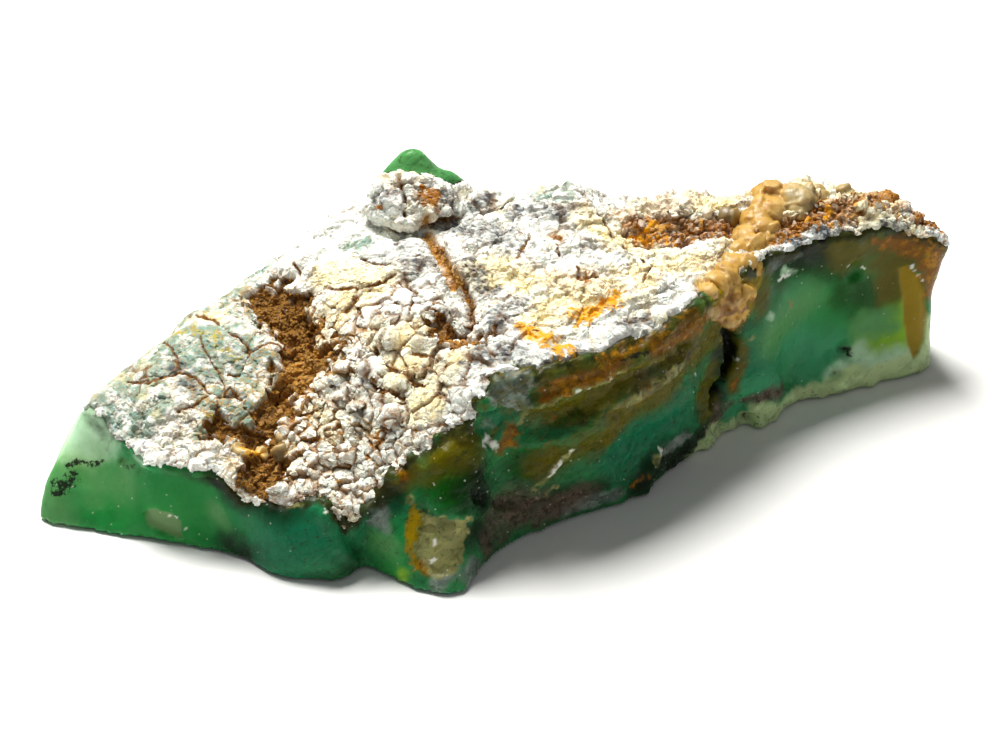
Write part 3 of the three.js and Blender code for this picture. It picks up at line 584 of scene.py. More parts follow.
# %% Stains, milky places and specks
FINE_TINTS = {
    "umber": (0.45, [
        (1.1, (38.6, 13.8, 15), (40.6, 14.4, 13.4)), (1.6, (40.4, 14.6, 12), (41.2, 15, 9)),
        (1.0, (36.4, 13.2, 14.8), (38.6, 13.8, 14.4)), (0.9, (37.4, 13.5, 14.2)),
        (0.35, (13, -6.3, 12.5), (11.6, -7.3, 11.5)), (0.25, (4.7, -10.5, 11.6)),
        (0.25, (4.1, -10.9, 9.7)), (0.7, (-8.4, -14.9, 9)), (0.5, (-20.6, -14.8, 6.5)),
        (1.0, (13.6, -5.8, 16), (17.6, -1, 16)), (0.5, (8.4, -9, 17), (13, -6, 17), (17.2, -1.4, 17)),
        (0.16, (12.9, -5.5, 2.2), (11.8, -6.7, 1.4)), (3.0, (34, 20, 13), (39, 19, 10)),
        (0.3, (21.9, 4.2, 8), (21.3, 3.6, 5.4)), (0.5, (-6.9, -18.7, 2.3), (-6.4, -19, 1.7)),
        (1.3, (37.6, 13.4, 14.8), (40.4, 14.4, 13)), (0.5, (34.6, 12.6, 15.2), (36.6, 13.2, 14.4)),
    ]),
    "amber": (CRISP, [
        (1.8, (19.2, 1.2, 16.4), (21, 3.4, 15.4), (21.2, 3.8, 13.6)),
        (0.9, (21.2, 3.6, 14.6), (21.8, 4.4, 16)), (0.6, (22.6, 5, 15), (23, 5.8, 16.6)),
        (0.3, (20.2, 2.9, 11.6), (19.9, 2.6, 13)), (0.4, (40, 14.3, 12.8)), (0.3, (40.6, 14.6, 11.4)),
        (0.35, (41, 14.9, 10)), (0.3, (39.2, 14, 13.6)),
    ]),
    # Milky and jade are partly the stone's own pale greens and partly painted glow through thin edges and
    # the knob's crest.
    "milky": (0.8, [
        (2.4, (-37, -6.6, 7.2), (-34.6, -6.8, 8.2)),
        (1.6, (31.4, 10.4, 2.4), (35.6, 11.8, 2), (38.4, 12.8, 1.8)), (1.3, (33.4, 11, 3.9)),
        (0.4, (25.5, 7.6, 15), (26.6, 8.6, 14.2)), (2.0, (-35, 1, 4), (-32.4, 3.6, 4)),
        (0.6, (24.6, 6, 11.8)), (0.8, (-31, -11, 7.4)),
    ]),
    "jade": (SOFT, [
        (3.0, (-8.6, 17, 22), (-5, 17.6, 19)), (2.6, (-39.4, -9, 3.4), (-40, -9.6, 1)),
        (2.0, (-35, -9.4, 4), (-33, -10.4, 5)), (1.2, (-24, -13.6, 3)),
        (2.2, (25, 6.2, 9), (28, 9.4, 10.4)), (1.6, (34, 12, 6.4), (36, 12.6, 6.4)),
        (1.5, (-10, -17, 3.4)),
    ]),
    "bone": (0.6, [
        (0.8, (23, 4.2, 1.8), (25, 5.2, 1.2)),
        (0.9, (25.6, 6, 0.6), (30.5, 9.2, 0.9), (35.6, 11.6, 0.5), (40.6, 13.6, 1.4)),
        (0.8, (40.8, 14.7, 5), (40.8, 14.2, 2)), (0.5, (32, 10.4, 2.6)), (0.5, (-3.6, -19, 0.7)),
    ]),
    "tan": (CRISP, [
        (0.28, (3.2, -12, 14.3), (6.2, -10.9, 15), (8.6, -9.6, 15.2), (10.4, -8.3, 15.2)),
        (0.3, (6.2, -10.8, 8.7), (5.7, -10.8, 7.7), (4.1, -11, 5.9), (2.8, -11.2, 4.5)),
        (0.3, (14.3, -4.2, 3.2), (13.3, -5.2, 2.6)), (0.22, (4.7, -10.6, 4.7), (3.9, -10.8, 3.6)),
        (0.28, (-7.8, -15.9, 7.8), (-7.7, -16.3, 6.8)),
        (0.45, (15.4, -4, 12.9), (12.6, -6.6, 12.2), (10, -8.2, 11.9)),
        (0.3, (0.2, -12, 10.9), (2, -11.2, 11.6), (2.3, -11.2, 12.8)),
        (0.22, (26.8, 8.9, 11.6), (26.6, 8.7, 10.6)), (0.3, (-19.6, -16, 6.6), (-17.2, -16, 6.8)),
        (0.3, (21, 3.6, 13), (21.5, 3.9, 11.4)), (0.35, (22.6, 4.6, 10.4)),
    ]),
    # Partly white chalky streaks, partly painted highlight: the white lines on ridge crests and the spot by
    # the slit stand for light on glossy edges.
    "chalk_and_highlight": (CRISP, [
        (0.1, (5.4, -11.2, 14.8), (9.1, -9.4, 15.4)),
        (0.2, (6.1, -10.8, 8.8), (5.3, -10.7, 7.2), (4.3, -11, 6)),
        (0.09, (-16.4, -14.9, 7.7), (-15.1, -15.5, 7.2), (-14.9, -16.6, 6.6)),
        (0.35, (-1.1, -13, 11.2), (-0.6, -12.4, 10.4)), (0.14, (14.6, -3.9, 3.8), (14, -4.6, 3.2)),
        (0.14, (-34.9, -7.9, 5.4)), (0.25, (-3.4, -18.9, 0.8)),
        (0.2, (25.4, 7.4, 14.4), (26.4, 8.4, 14.6)),
        (0.16, (-6.1, -17.6, 5.2), (-5.6, -18.3, 4), (-6, -18.8, 2.6)), (0.22, (17.8, -0.6, 9.6)),
        (0.3, (20.6, 3.0, 8.4), (21.3, 3.5, 8.3)),
        (0.1, (-27.8, -13, 1.4), (-28.1, -12.6, 2.4), (-29.8, -12.1, 3.4)),
        (0.12, (38, 13.6, 12), (39.2, 14.1, 10.8), (40, 14.6, 8.6)),
        (0.12, (34, 12.3, 12.6), (32, 11.4, 13.2)), (0.16, (17.2, -0.8, 1.6)), (0.1, (-19, -17.4, 4.2)),
        (0.1, (-12.4, -16.8, 4)),
    ]),
    # Painted shade: near-black in the slit and in the dents, where the real holes lie in shade.
    "pit_shade": (0.5, [
        (0.55, (-1.3, -14.7, 6.4)), (0.3, (-2.1, -15.6, 7.4)), (0.4, (22.7, 4.4, 1)),
        (0.3, (16.4, -1.8, 1.6)), (0.35, (28, 9.3, 17.2), (29.4, 9.9, 17)), (0.2, (-30.4, -11.5, 6.9)),
        (0.42, (32.1, 10.8, 4.2), (32.9, 11.1, 4.0)), (0.28, (31.4, 9.8, 2.2)),
    ]),
    "specks": (SOFT, [
        (1.4, (-39, -9, 3.2), (-37.4, -9, 3.9)),
        (0.7, (-38, -8.2, 4.8), (-36.8, -8.1, 5.2), (-34.4, -8.5, 5.6)),
        (0.75, (-34.4, -8.9, 5.4), (-31.6, -10.5, 6.4)), (0.6, (-30.4, -11.5, 8)),
        (0.7, (-17.9, -16, 6.2)), (0.7, (-1.3, -14.8, 6.3), (0, -13, 4.6)),
        (0.6, (27.6, 8.7, 16.4), (29.8, 9.8, 16.2)), (0.75, (32.3, 10.8, 4)), (0.5, (31.5, 9.8, 1.6)),
        (1.4, (-26, 11.6, 6)), (0.9, (-20.4, -14.6, 6.4)), (0.6, (9, -9, 16.4), (13, -6.4, 16)),
    ]),
}
print("fine tints:", *FINE_TINTS)

# %% Tints with an outline
BANDED = [(4.4, (1, -12, 14), (8, -9.6, 13.6), (17, -1, 13))]
FOOT_OUTLINE = [
    (17, -1), (17, 1.2), (19.5, 2.2), (21.5, 1.5), (24, 2.8), (26.5, 1.5), (30, 1.9), (33, 2.8),
    (36, 2.2), (38.5, 2.8), (40.5, 3.6), (41.8, 5.6), (43, 5.6), (43, -1),
]
AMBER_OUTLINE = [
    (-7.5, 6.7), (-6.7, 6.8), (-7.1, 5), (-7.1, 2.6), (-6.5, 1.5), (-7.6, 2), (-8, 3.7), (-7.9, 5.3),
]
UMBER_OUTLINE = [
    (-0.6, 9.8), (0.0, 10.8), (0.9, 11.9), (1.5, 11.7), (1.7, 10.9), (1.2, 10.3), (1.5, 9.3),
    (0.7, 9.7), (0.1, 8.9),
]
# The slit's outline is filled with near-black painted shade.
GREEN_OUTLINES = {
    "tan": [CHIP_OUTLINE], "pit_shade": [SLIT_OUTLINE], "slate": [SLAB_OUTLINE],
    "bone": [FOOT_OUTLINE], "amber": [AMBER_OUTLINE], "umber": [BAND_OUTLINE, UMBER_OUTLINE],
}
BORDERS = {"bone": 0.5, "umber": 0.3}
SHARP_BORDER = 0.12
print("outlined tints:", *GREEN_OUTLINES)

# %% Make the tint masks
def green_tints(points, outward, cover):
    """Each tint's mask, 0 to 1. Broad tints get a cloudy border and crisp ones an angular one."""
    cloud = wandered(wandered(points, 1.2, 4.5, 41), 0.5, 1.1, 45)
    angular = chipped(wandered(points, 0.15, 0.9, 48), 0.25, 0.7, 49)
    front = step_up(0.3, -0.2, outward[:, 1])
    masks = {
        name: painted(cloud if soft > 0.5 else angular, places, soft)
        for name, (soft, places) in {**BROAD_TINTS, **FINE_TINTS}.items()
    }
    for name, outlines in GREEN_OUTLINES.items():
        inside = outlined(angular, outlines, BORDERS.get(name, SHARP_BORDER))
        masks[name] = np.maximum(masks[name], front * inside)
    masks["film"] = 0.8 * front * outlined(points, [BEAK_CHIP_OUTLINE], 0.2)
    masks["amber"] = np.maximum(masks["amber"], front * outlined(points, [CRESCENT_OUTLINE], 0.2))
    # Painted shade with some iron stain: a dark strip on the bare stone just under the rind's border, where
    # its edge shades it.
    masks["rim_shade_and_stain"] = step_up(-1.7, -0.2, cover) * (0.35 + 0.65 * step_up(-26, -22, points[:, 0]))
    masks["bands"] = painted(cloud, BANDED, 0.6)
    masks["plain"] = painted(points, SMOOTH_PLACES, 0.6)
    return masks


tints = green_tints(skin, outward, cover)
print("tints:", {name: round(float(mask.mean()), 3) for name, mask in tints.items()})

# %% [markdown]
# ## From points to a mesh object
# All pieces are made the same way: points, faces and one list of numbers per tint go into a
# new mesh. Building it with foreach_set is much faster than adding faces one by one. Points
# that would leave the solid's box are eased back into it, so the piece keeps the true size.

# %% Make mesh objects out of points
LOWEST, HIGHEST = (np.array(corner) / MM + MIDDLE for corner in cad_box)


def held(points, give=0.7):
    """The points with the outermost ones eased back, so that none leaves the solid's box."""
    for limit, side in ((HIGHEST, 1), (LOWEST, -1)):
        excess = side * (points - limit) + give
        eased = limit + side * (give * np.tanh(np.maximum(excess, 0) / give) - give)
        points = np.where(excess > 0, eased, points)
    points[:, 2] = np.maximum(points[:, 2], 0)
    return points


def make_piece(name, points, faces, attributes, smooth=True, crease=None):
    """A mesh object from points in mm, lists of equal-sided faces and per-point numbers. Edges
    that turn by more than the crease, in degrees, stay sharp."""
    mesh = bpy.data.meshes.new(name)
    corners = np.concatenate([part.ravel() for part in faces])
    sides = np.concatenate([np.full(len(part), part.shape[1]) for part in faces])
    mesh.vertices.add(len(points))
    mesh.vertices.foreach_set("co", ((held(points) - MIDDLE) * MM).ravel())
    mesh.loops.add(len(corners))
    mesh.loops.foreach_set("vertex_index", corners.astype(np.int32))
    mesh.polygons.add(len(sides))
    starts = np.concatenate([[0], np.cumsum(sides)[:-1]])
    mesh.polygons.foreach_set("loop_start", starts.astype(np.int32))
    mesh.polygons.foreach_set("use_smooth", np.full(len(sides), smooth))
    mesh.update(calc_edges=True)
    mesh.validate()
    if crease:
        mesh.set_sharp_from_angle(angle=math.radians(crease))
    for label, values in attributes.items():
        layer = mesh.attributes.new(label, "FLOAT", "POINT")
        layer.data.foreach_set("value", np.asarray(values, dtype=np.float32))
    piece = bpy.data.objects.new(name, mesh)
    bpy.context.scene.collection.objects.link(piece)
    triangles = int((sides - 2).sum())
    print(f"{name}: {len(points)} points, {triangles} triangles")
    return piece


green_body = make_piece("green_body", body, [quads], tints)

# %% [markdown]
# ## The rind as its own skin
# The rind could be painted on the body, but it is a separate growth with its own thickness,
# crumbs and shadows. Here it is the top part of a second, finer grid of the same solid,
# split once so that its faces are a tenth of a millimetre, then pushed outwards. Where the
# rind ends, the push turns inwards, so the sheet dives into the stone instead of stopping
# in a hard line.

# %% Split the rind's faces
def only(quads, keep, points):
    """The faces whose points are all kept, with the points renumbered."""
    chosen = quads[keep[quads].all(axis=1)]
    used, corners = np.unique(chosen, return_inverse=True)
    return corners.reshape(-1, 4), points[used]


def split(quads, points):
    """Each four-sided face becomes four."""
    sides = np.concatenate([quads[:, [k, (k + 1) % 4]] for k in range(4)])
    pairs, which = np.unique(np.sort(sides, axis=1), axis=0, return_inverse=True)
    which = which.ravel() + len(points)
    halfway = points[pairs].mean(axis=1)
    middles = points[quads].mean(axis=1)
    centre = np.arange(len(quads)) + len(points) + len(pairs)
    count = len(quads)
    mid = [which[k * count:(k + 1) * count] for k in range(4)]
    parts = [np.stack([quads[:, k], mid[k], centre, mid[k - 1]], axis=1) for k in range(4)]
    return np.concatenate(parts), np.concatenate([points, halfway, middles])


RIND_VOXEL = 0.23
SHEET_OVERLAP = 0.9

rind_skin, rind_quads = voxel_copy(stone_node.data, RIND_VOXEL)
rind_skin = relax(rind_skin, edges_of(rind_quads), RELAX_ROUNDS)
rind_quads, rind_out = faced_out(rind_skin, rind_quads, rounds=4)
keep = rind_cover(rind_skin, rind_out) > -SHEET_OVERLAP
rind_quads, rind_skin = only(rind_quads, keep, rind_skin)
rind_quads, rind_skin = split(rind_quads, rind_skin)
rind_skin = relax(rind_skin, edges_of(rind_quads), rounds=1)
rind_out = even_normals(rind_skin, rind_quads, rounds=8)
rind_over = rind_cover(rind_skin, rind_out)
print("rind sheet:", len(rind_skin), "points")

# %% [markdown]
# ## Crumbs, plates and cracks
# The rind isn't one thing. Near the knob it is a smooth streaked plate. In the middle it fell
# into rubble of about a millimetre, packed with soil, with firmer blocks beside it. Towards
# the beak it shrank into a net of fine cracks, and along the back it stands in ledges. Each
# kind has a zone, and the relief mixes them by zone.

# %% Zones of the rind
PLATE = [(4.6, (-18.5, 9), (-15, 8.6), (-10.5, 6.4)), (3.0, (-14, 4.8), (-9, 4.4)), (2.4, (-21, 8))]
LOOSE = [
    (4.8, (-14.6, -8), (-11.4, -9.6), (-12.4, -13)), (2.4, (-14.6, -0.6), (-10.8, -2.8)),
    (2.6, (-17, -12.6), (-13, -14.6)), (1.8, (-5, -12.6), (-8.4, -13.6)),
]
BLOCKS = [
    (3.0, (-8.6, -6.6), (-6.4, -9.6), (-3.4, -10.4)), (2.6, (-7.6, -2.4), (-8.6, 1.4), (-12, 0.6)),
    (2.0, (-1, -7.4)),
]
NET = [(5.4, (-31, -2), (-26.6, -0.6), (-23.6, -3)), (3.0, (-22, 5.4), (-25.6, 4)), (2.2, (-23.6, -7.6))]
LEDGES = [(3.4, (8, 14), (14, 12.6), (20, 13.6)), (2.4, (0, 15), (4, 14.4)), (3.6, (28, 13.6), (36, 15))]
LIP = [(1.0, (3.4, -9.6), (6, -9.4), (8.6, -7.3), (12, -5.6)), (0.9, (14, -4), (17.4, -0.8))]
HOLLOW = [
    (1.9, (-21.2, 5), (-19.4, 3.4), (-18.6, 1), (-17.8, -1.6)),
    (1.6, (-17.6, -1.6), (-16.4, -3.2), (-18.6, -4.2)), (1.5, (-18.6, -4), (-19.8, -6.5), (-21, -8.4)),
    (1.8, (-21.2, -9), (-20.8, -11.7), (-20.6, -13.6)), (0.8, (-25, -8.8), (-22, -9.6)),
]
BROWN = [
    (1.5, (12.4, 9.6), (17, 9.8), (21.4, 11.2)), (1.5, (29.4, 12.8), (31.8, 13.4)),
    (0.8, (25, 10.4), (27.6, 11)), (1.0, (35.4, 14.8), (37.4, 14.8)), (1.6, (39, 16.6), (40.4, 16)),
]
PATCH = [(1.1, (-5.6, -4.6), (-3.6, -5.6), (-1.6, -6.4))]
HONEY_TRACK = [(24.6, 14), (23.6, 10.4), (22, 6.6), (20, 3.2), (18.4, 1.2)]
BANKS = [
    (0.5, (-19.7, -5.3), (-18.6, -4.3), (-16.6, -4.4)), (0.3, (-21.8, -8), (-20.2, -6)),
    (0.35, (24, 7.6), (26.9, 9.8), (30, 11.2), (33.3, 12.3), (36.3, 13.2), (39.5, 14.4), (41.2, 15.2)),
]


def rind_zones(points):
    """How much of each kind of rind there is at each point, 0 to 1."""
    frayed = wandered(points, 0.5, 1.7, 60)
    angular = chipped(wandered(points, 0.4, 1.4, 62), 0.8, 1.1, 63)
    rusty = chipped(wandered(points, 0.7, 1.8, 75), 0.7, 0.9, 76)
    zones = {
        "plate": painted(frayed, PLATE, 0.5), "blocks": painted(angular, BLOCKS, 0.4),
        "ledges": painted(frayed, LEDGES, 0.6), "lip": painted(wandered(points, 0.3, 1.2, 63), LIP, 0.6),
        "hollow": painted(angular, HOLLOW, 0.3), "brown": painted(rusty, BROWN, 0.3),
        "patch": painted(angular, PATCH, 0.4), "bank": painted(wandered(points, 0.35, 0.9, 78), BANKS, 0.8),
        "track": painted(frayed, [(1.2, *HONEY_TRACK)], 0.6),
    }
    zones["loose"] = painted(angular, LOOSE, 0.4) * (1 - zones["blocks"])
    zones["net"] = painted(frayed, NET, 0.4) * (1 - zones["plate"])
    rest = 1.0
    for name in ("plate", "loose", "blocks", "net", "lip"):
        rest = rest - zones[name]
    zones["crusty"] = np.clip(rest, 0, 1)
    return zones


shade = rind_zones(rind_skin)
print("zones:", {name: round(float(zone.mean()), 3) for name, zone in shade.items()})

# %% Cracks of the rind
WIDE_CRACKS = [
    (0.6, (-6.7, 10), (-6.1, 8.4), (-4.8, 5)), (0.42, (-4.8, 5), (-4.4, 2.9), (-3, 1)),
    (0.36, (-3, 1), (-2.6, -1.8), (-2.6, -4.2)),
    (0.3, (-11.3, 12.1, 18.8), (-9.2, 11.4, 17.2), (-6.6, 10.6, 17.9), (-5, 12, 17.9),
     (-3.5, 13.2, 17.6)),
    (0.2, (-9.1, 14, 21), (-8.7, 11.6, 20.3), (-8.8, 10.7, 19.2)),
    (0.3, (-17, -0.4), (-16.2, -2), (-14.6, -2.2), (-13.4, -3)),
    (0.3, (-20.2, -6), (-18.6, -4.8), (-16.6, -5)),
]
FINE_CRACKS = [
    (0.17, (-32.7, -3.4), (-31, -4.5), (-28, -4.1), (-27, -4.4), (-25.9, -5.7), (-24.6, -6.5),
     (-23.8, -5.4), (-22.7, -6.2)),
    (0.14, (-28, -4.1), (-28.4, -2.6), (-29.1, -1), (-30, 1)),
    (0.17, (-27.3, 4), (-25.2, 1.7), (-23.9, -0.2), (-21.9, -2), (-20.7, -1.3), (-19.4, -1.6)),
    (0.15, (-21.9, -2), (-22.6, -3), (-23.1, -4), (-24, -3.9)),
    (0.12, (-26.7, 0), (-26.2, -1.7), (-25, -3.7), (-24.2, -5.5)),
    (0.14, (-25.7, -6.4), (-26.8, -7.2), (-28.1, -7.7)), (0.13, (-24.8, -6.8), (-24.6, -8.2)),
    (0.12, (-22.5, -6.9), (-21.7, -7.4), (-21.4, -8)),
    (0.22, (-18.6, 4.3), (-15.8, 3.5), (-13.8, 2.8), (-11.2, 3.2), (-9.4, 4)),
    (0.15, (-18.4, 7.6), (-18.2, 6.2)), (0.2, (-18.4, 3), (-17.3, 1.5), (-16.8, 0)),
    (0.2, (-10.7, -5), (-10, -6.4), (-7.8, -8.8), (-6.4, -9.3)),
    (0.17, (-10.9, -7.7), (-10, -8.9), (-8.4, -9.7)), (0.16, (-5.2, 0), (-4.4, -3)),
    (0.17, (-7.8, -6), (-6.1, -7.3), (-4.8, -7)), (0.16, (5, 5), (5.2, 4.1)),
    (0.17, (7, 1.8), (7, 0.2), (8.4, 1.6), (9.3, 0.4)), (0.14, (-9, 3), (-7.4, 0.6), (-8, -2)),
    (0.14, (0.6, 9.6), (2.6, 7), (1.6, 3.4)), (0.14, (11, 6.8), (13.4, 3.6), (12.6, 1)),
    (0.16, (9, 10.6), (10.6, 7.6)), (0.15, (-12.4, 6.6), (-9.6, 5.4), (-7.4, 6)),
    (0.16, (-13, 1.8), (-12.2, -1.4)),
]


def cracks(points, widths, narrow=1.0):
    """1 in the bottom of a crack, fading to 0 at its lips."""
    gaps = [away(points, path) / (narrow * width) for width, *path in widths]
    return np.exp(-np.min(gaps, axis=0) ** 2)


print(len(WIDE_CRACKS), "wide and", len(FINE_CRACKS), "fine cracks")

# %% Relief of the rind
STONES = (2.5, 23)
STONE_SHAKE = (0.5, 1.6, 80)
STREAK_TURN = np.array([[0.92, 0.38, 0], [-0.38, 0.92, 0], [0, 0, 1]])
DIVE = 0.4


def rind_relief(points, zones):
    """The push outwards in mm, and the clefts, cracks and grain tones that colours follow."""
    plate, loose, blocks, net = (zones[name] for name in ("plate", "loose", "blocks", "net"))
    crusty, ledges, hollow = (zones[name] for name in ("crusty", "ledges", "hollow"))
    brown, patch = zones["brown"], zones["patch"]

    shaken = wandered(points, *STONE_SHAKE)
    big, big_clefts, _ = rubble(shaken, *STONES, tilt=0.2, step=0.16, gap=0.13)
    shaken = wandered(points, 0.1, 0.6, 83)
    mid, mid_clefts, mid_traits = rubble(shaken, 1.3, 29, tilt=0.5, step=0.18, gap=0.09)
    shaken = wandered(points, 0.05, 0.3, 86)
    fine, fine_clefts, fine_traits = rubble(shaken, 0.56, 37, tilt=0.62, step=0.08, gap=0.06)
    _, _, net_border = broken(wandered(points, 0.5, 1.5, 90), 2.6, 43)
    net_lines = np.exp(-((net_border / 0.05) ** 2)) * net * step_up(0.1, 0.6, drift(points, 3.5, 44))

    turned = points @ STREAK_TURN.T
    squeezed = wandered(turned, 0.35, 1.0, 91) * np.array([0.4, 1.4, 1.0])
    flakes = 0.6 * ragged(squeezed, 1.4, 12) + 0.25 * (2 * mid_traits[:, 1] - 1)
    flaked = terraces(flakes, 0.16, riser=0.14)
    ledge = terraces(1.3 * ragged(turned * np.array([0.5, 1.2, 1.0]), 2.6, 16), 0.42, riser=0.25)
    wide = cracks(wandered(points, 0.3, 0.9, 95), WIDE_CRACKS)
    thin = cracks(wandered(points, 0.25, 0.7, 98), FINE_CRACKS, 0.85)

    big -= 0.25 * big_clefts + 0.08 * big_clefts**0.12
    mid -= 0.24 * mid_clefts + 0.04 * mid_clefts**0.12
    push = 0.42 + 0.22 * ragged(points, 5.5, 9)
    push += (0.85 * blocks + 0.35 * crusty + 0.25 * ledges) * big
    push += (1.0 * loose + 0.2 * blocks + 0.25 * crusty + 0.16 * net) * mid
    grainy = 0.3 * loose + 0.12 * blocks + 0.3 * crusty + 0.32 * net + 0.15 * plate
    push += grainy * (fine - 0.05 * fine_clefts)
    push += (0.6 * plate + 0.8 * crusty + 0.2 * blocks + 0.15 * net) * flaked + 0.55 * ledges * ledge
    push -= 0.45 * zones["track"]
    push += 0.2 * zones["lip"] + 0.05 * zones["bank"] + 0.03 * ragged(points, 0.4, 18)
    push -= 0.8 * hollow + 0.8 * wide + 0.2 * thin + 0.06 * net_lines + 0.35 * patch + 0.35 * brown
    push += (brown + hollow + patch) * (0.25 * ragged(points, 0.7, 14) + 0.5 * fine + 0.25 * mid)
    return push, {
        "net_lines": net_lines, "wide": wide, "thin": thin,
        "big_clefts": big_clefts, "mid_clefts": mid_clefts, "fine_clefts": fine_clefts,
        "tone": mid_traits[:, 2], "fine_tone": fine_traits[:, 2],
    }


push, clefts = rind_relief(rind_skin, shade)
shade.update(clefts)
edge = step_up(-0.3, 0.4, rind_over)
thickness = 0.45 + 0.55 * step_up(0.2, 2.4, rind_over)
rind_points = rind_skin + rind_out * (-DIVE + (push * thickness + DIVE) * edge)[:, None]
print("rind's push in mm:", push.min().round(2), "to", push.max().round(2))

# %% [markdown]
# ## Colours of the rind
# The same zones and clefts tell where the colours lie. Soil sits in what is low, iron
# spreads from the brown places, a little green shines through where the rind is thin, and
# grey streaks cross it; their blue-grey beside the knob and along the front rim is painted
# shade. Grains differ in tone one by one.

# %% Places of the rind's tints
ORANGE = [
    (0.75, (2.4, -6.1), (3.2, -7.8), (4.4, -8.8)), (0.65, (6.8, -4.9), (8.4, -3.8), (10.2, -2.6)),
    (0.35, (7.4, -3.6), (9.6, -2.6)), (0.4, (10.2, -1.6), (10.6, -0.6)),
    (0.45, (-22.8, -10.2), (-21, -10.8)), (0.8, (14, 10), (13, 9.4)), (0.7, (30.4, 12.4)),
    (0.5, (22.6, 7)), (0.5, (4.8, -9.6), (6, -9.4)),
]
RUST = [
    (0.7, (-7.3, 11.9, 20.6), (-6.1, 11.7, 20.3)), (0.6, (-10.6, 12.6, 19.4)),
    (1.0, (25.4, 9.6), (23.6, 8.6)), (0.9, (21.4, 8.8)), (0.4, (4.8, 6.6), (5.4, 6)),
    (0.35, (7.2, 1.4), (7.4, 0.2)), (0.9, (38.6, 14.9), (41, 15.6)), (0.6, (-10.4, -12)),
    (1.0, (34, 15.6), (36, 16.6)), (0.5, (20.4, 2.6), (19, 1)), (0.8, (25.8, 10), (29, 11.8)),
]
CREAM = [
    (1.8, (-12.2, 1.8), (-15, 0.4)), (1.9, (-8.4, -8)), (1.9, (-6, -10)), (1.4, (-3.6, -8.4)),
    (2.2, (-1, 2.5), (2, 0.6)), (1.6, (11, 1), (17, 4.4)), (1.8, (4, -4), (9, -1.6)),
    (1.6, (-15.4, 5.4), (-11, 4)), (1.5, (20, 7)), (1.0, (-25.6, 2.6), (-27, 3.4)),
    (1.8, (8, 9), (14, 6)), (1.6, (-8, -4)), (1.6, (26.4, 12), (29, 15)), (1.6, (32.6, 15.6), (35, 17)),
    (1.0, (19, 13), (22, 14.4)), (1.2, (34, 13), (37, 13.6)),
]
PINK = [
    (1.6, (4.8, 0), (9.2, 1)), (1.6, (14, 12.4), (19, 13.4)), (1.4, (11, 11.4)), (1.4, (28, 15.4)),
    (1.0, (5, 6.6)),
]
GREENISH = [
    (3.8, (-29, -1.4), (-26, -1), (-24.6, -3)), (2.0, (-24.6, 3.6)), (2.2, (-34, -4.6), (-31.6, -7)),
    (1.4, (-21.4, 9.6), (-28, 3.8)), (1.4, (-23.4, -7.8)), (1.2, (-13, 8.6)), (1.6, (5, 13)),
    (1.0, (-26, -9.6)),
]
# Grey streaks, partly painted shade: the blue-grey beside the knob and along the front rim stands for shade
# on the rind.
GREY_AND_SHADE = [
    (1.5, (-3.4, 10.2), (-1.4, 8), (0.6, 6)), (1.3, (-4.4, 11.6), (-2.2, 9.6), (0.5, 7.3)),
    (1.2, (-1.8, 7.4), (0.6, 5.8)), (0.6, (-9.1, 8.8), (-8.2, 8.2)), (1.2, (-2.4, -8.6), (1, -9)),
    (1.0, (1.4, -3), (0, -5.6)), (1.4, (-9, 6.4), (-6.4, 4)), (1.2, (2, 11), (5, 9.6)),
    (0.9, (4.4, -9.8), (7, -9)), (0.9, (-23.6, -6)), (0.8, (-12, -10.4)), (0.8, (10.4, -5.6), (13, -4)),
    (1.0, (-2, 14), (0, 13)), (0.8, (-8.4, 12.6, 20.8)), (0.8, (-11, 12.6, 19.6), (-10.4, 12.4, 20.8)),
    (1.2, (-2.6, 3.4), (-0.6, -1)), (0.6, (26.4, 9), (28.6, 10.2), (31, 11.2)),
    (0.5, (34.6, 12.6), (37.4, 13.6)), (0.8, (-28.6, -3), (-27, -5.4)),
]
OCHRE = [
    (0.9, (-6.7, 10), (-4.8, 5), (-4.2, 2.6)), (0.8, (-4.8, -5.2), (-3, -5.9)),
    (0.8, (-17.4, -3.4), (-19.4, -3.2)),
]
VEIN = [
    (0.22, (-29.6, 1.6), (-26.6, 0.2), (-24.6, -0.8), (-22.9, -2.3)), (0.3, (-25.4, -8.4), (-24.4, -8.2)),
]

print(len(ORANGE) + len(RUST), "rusty places and", len(GREY_AND_SHADE), "smoky ones")

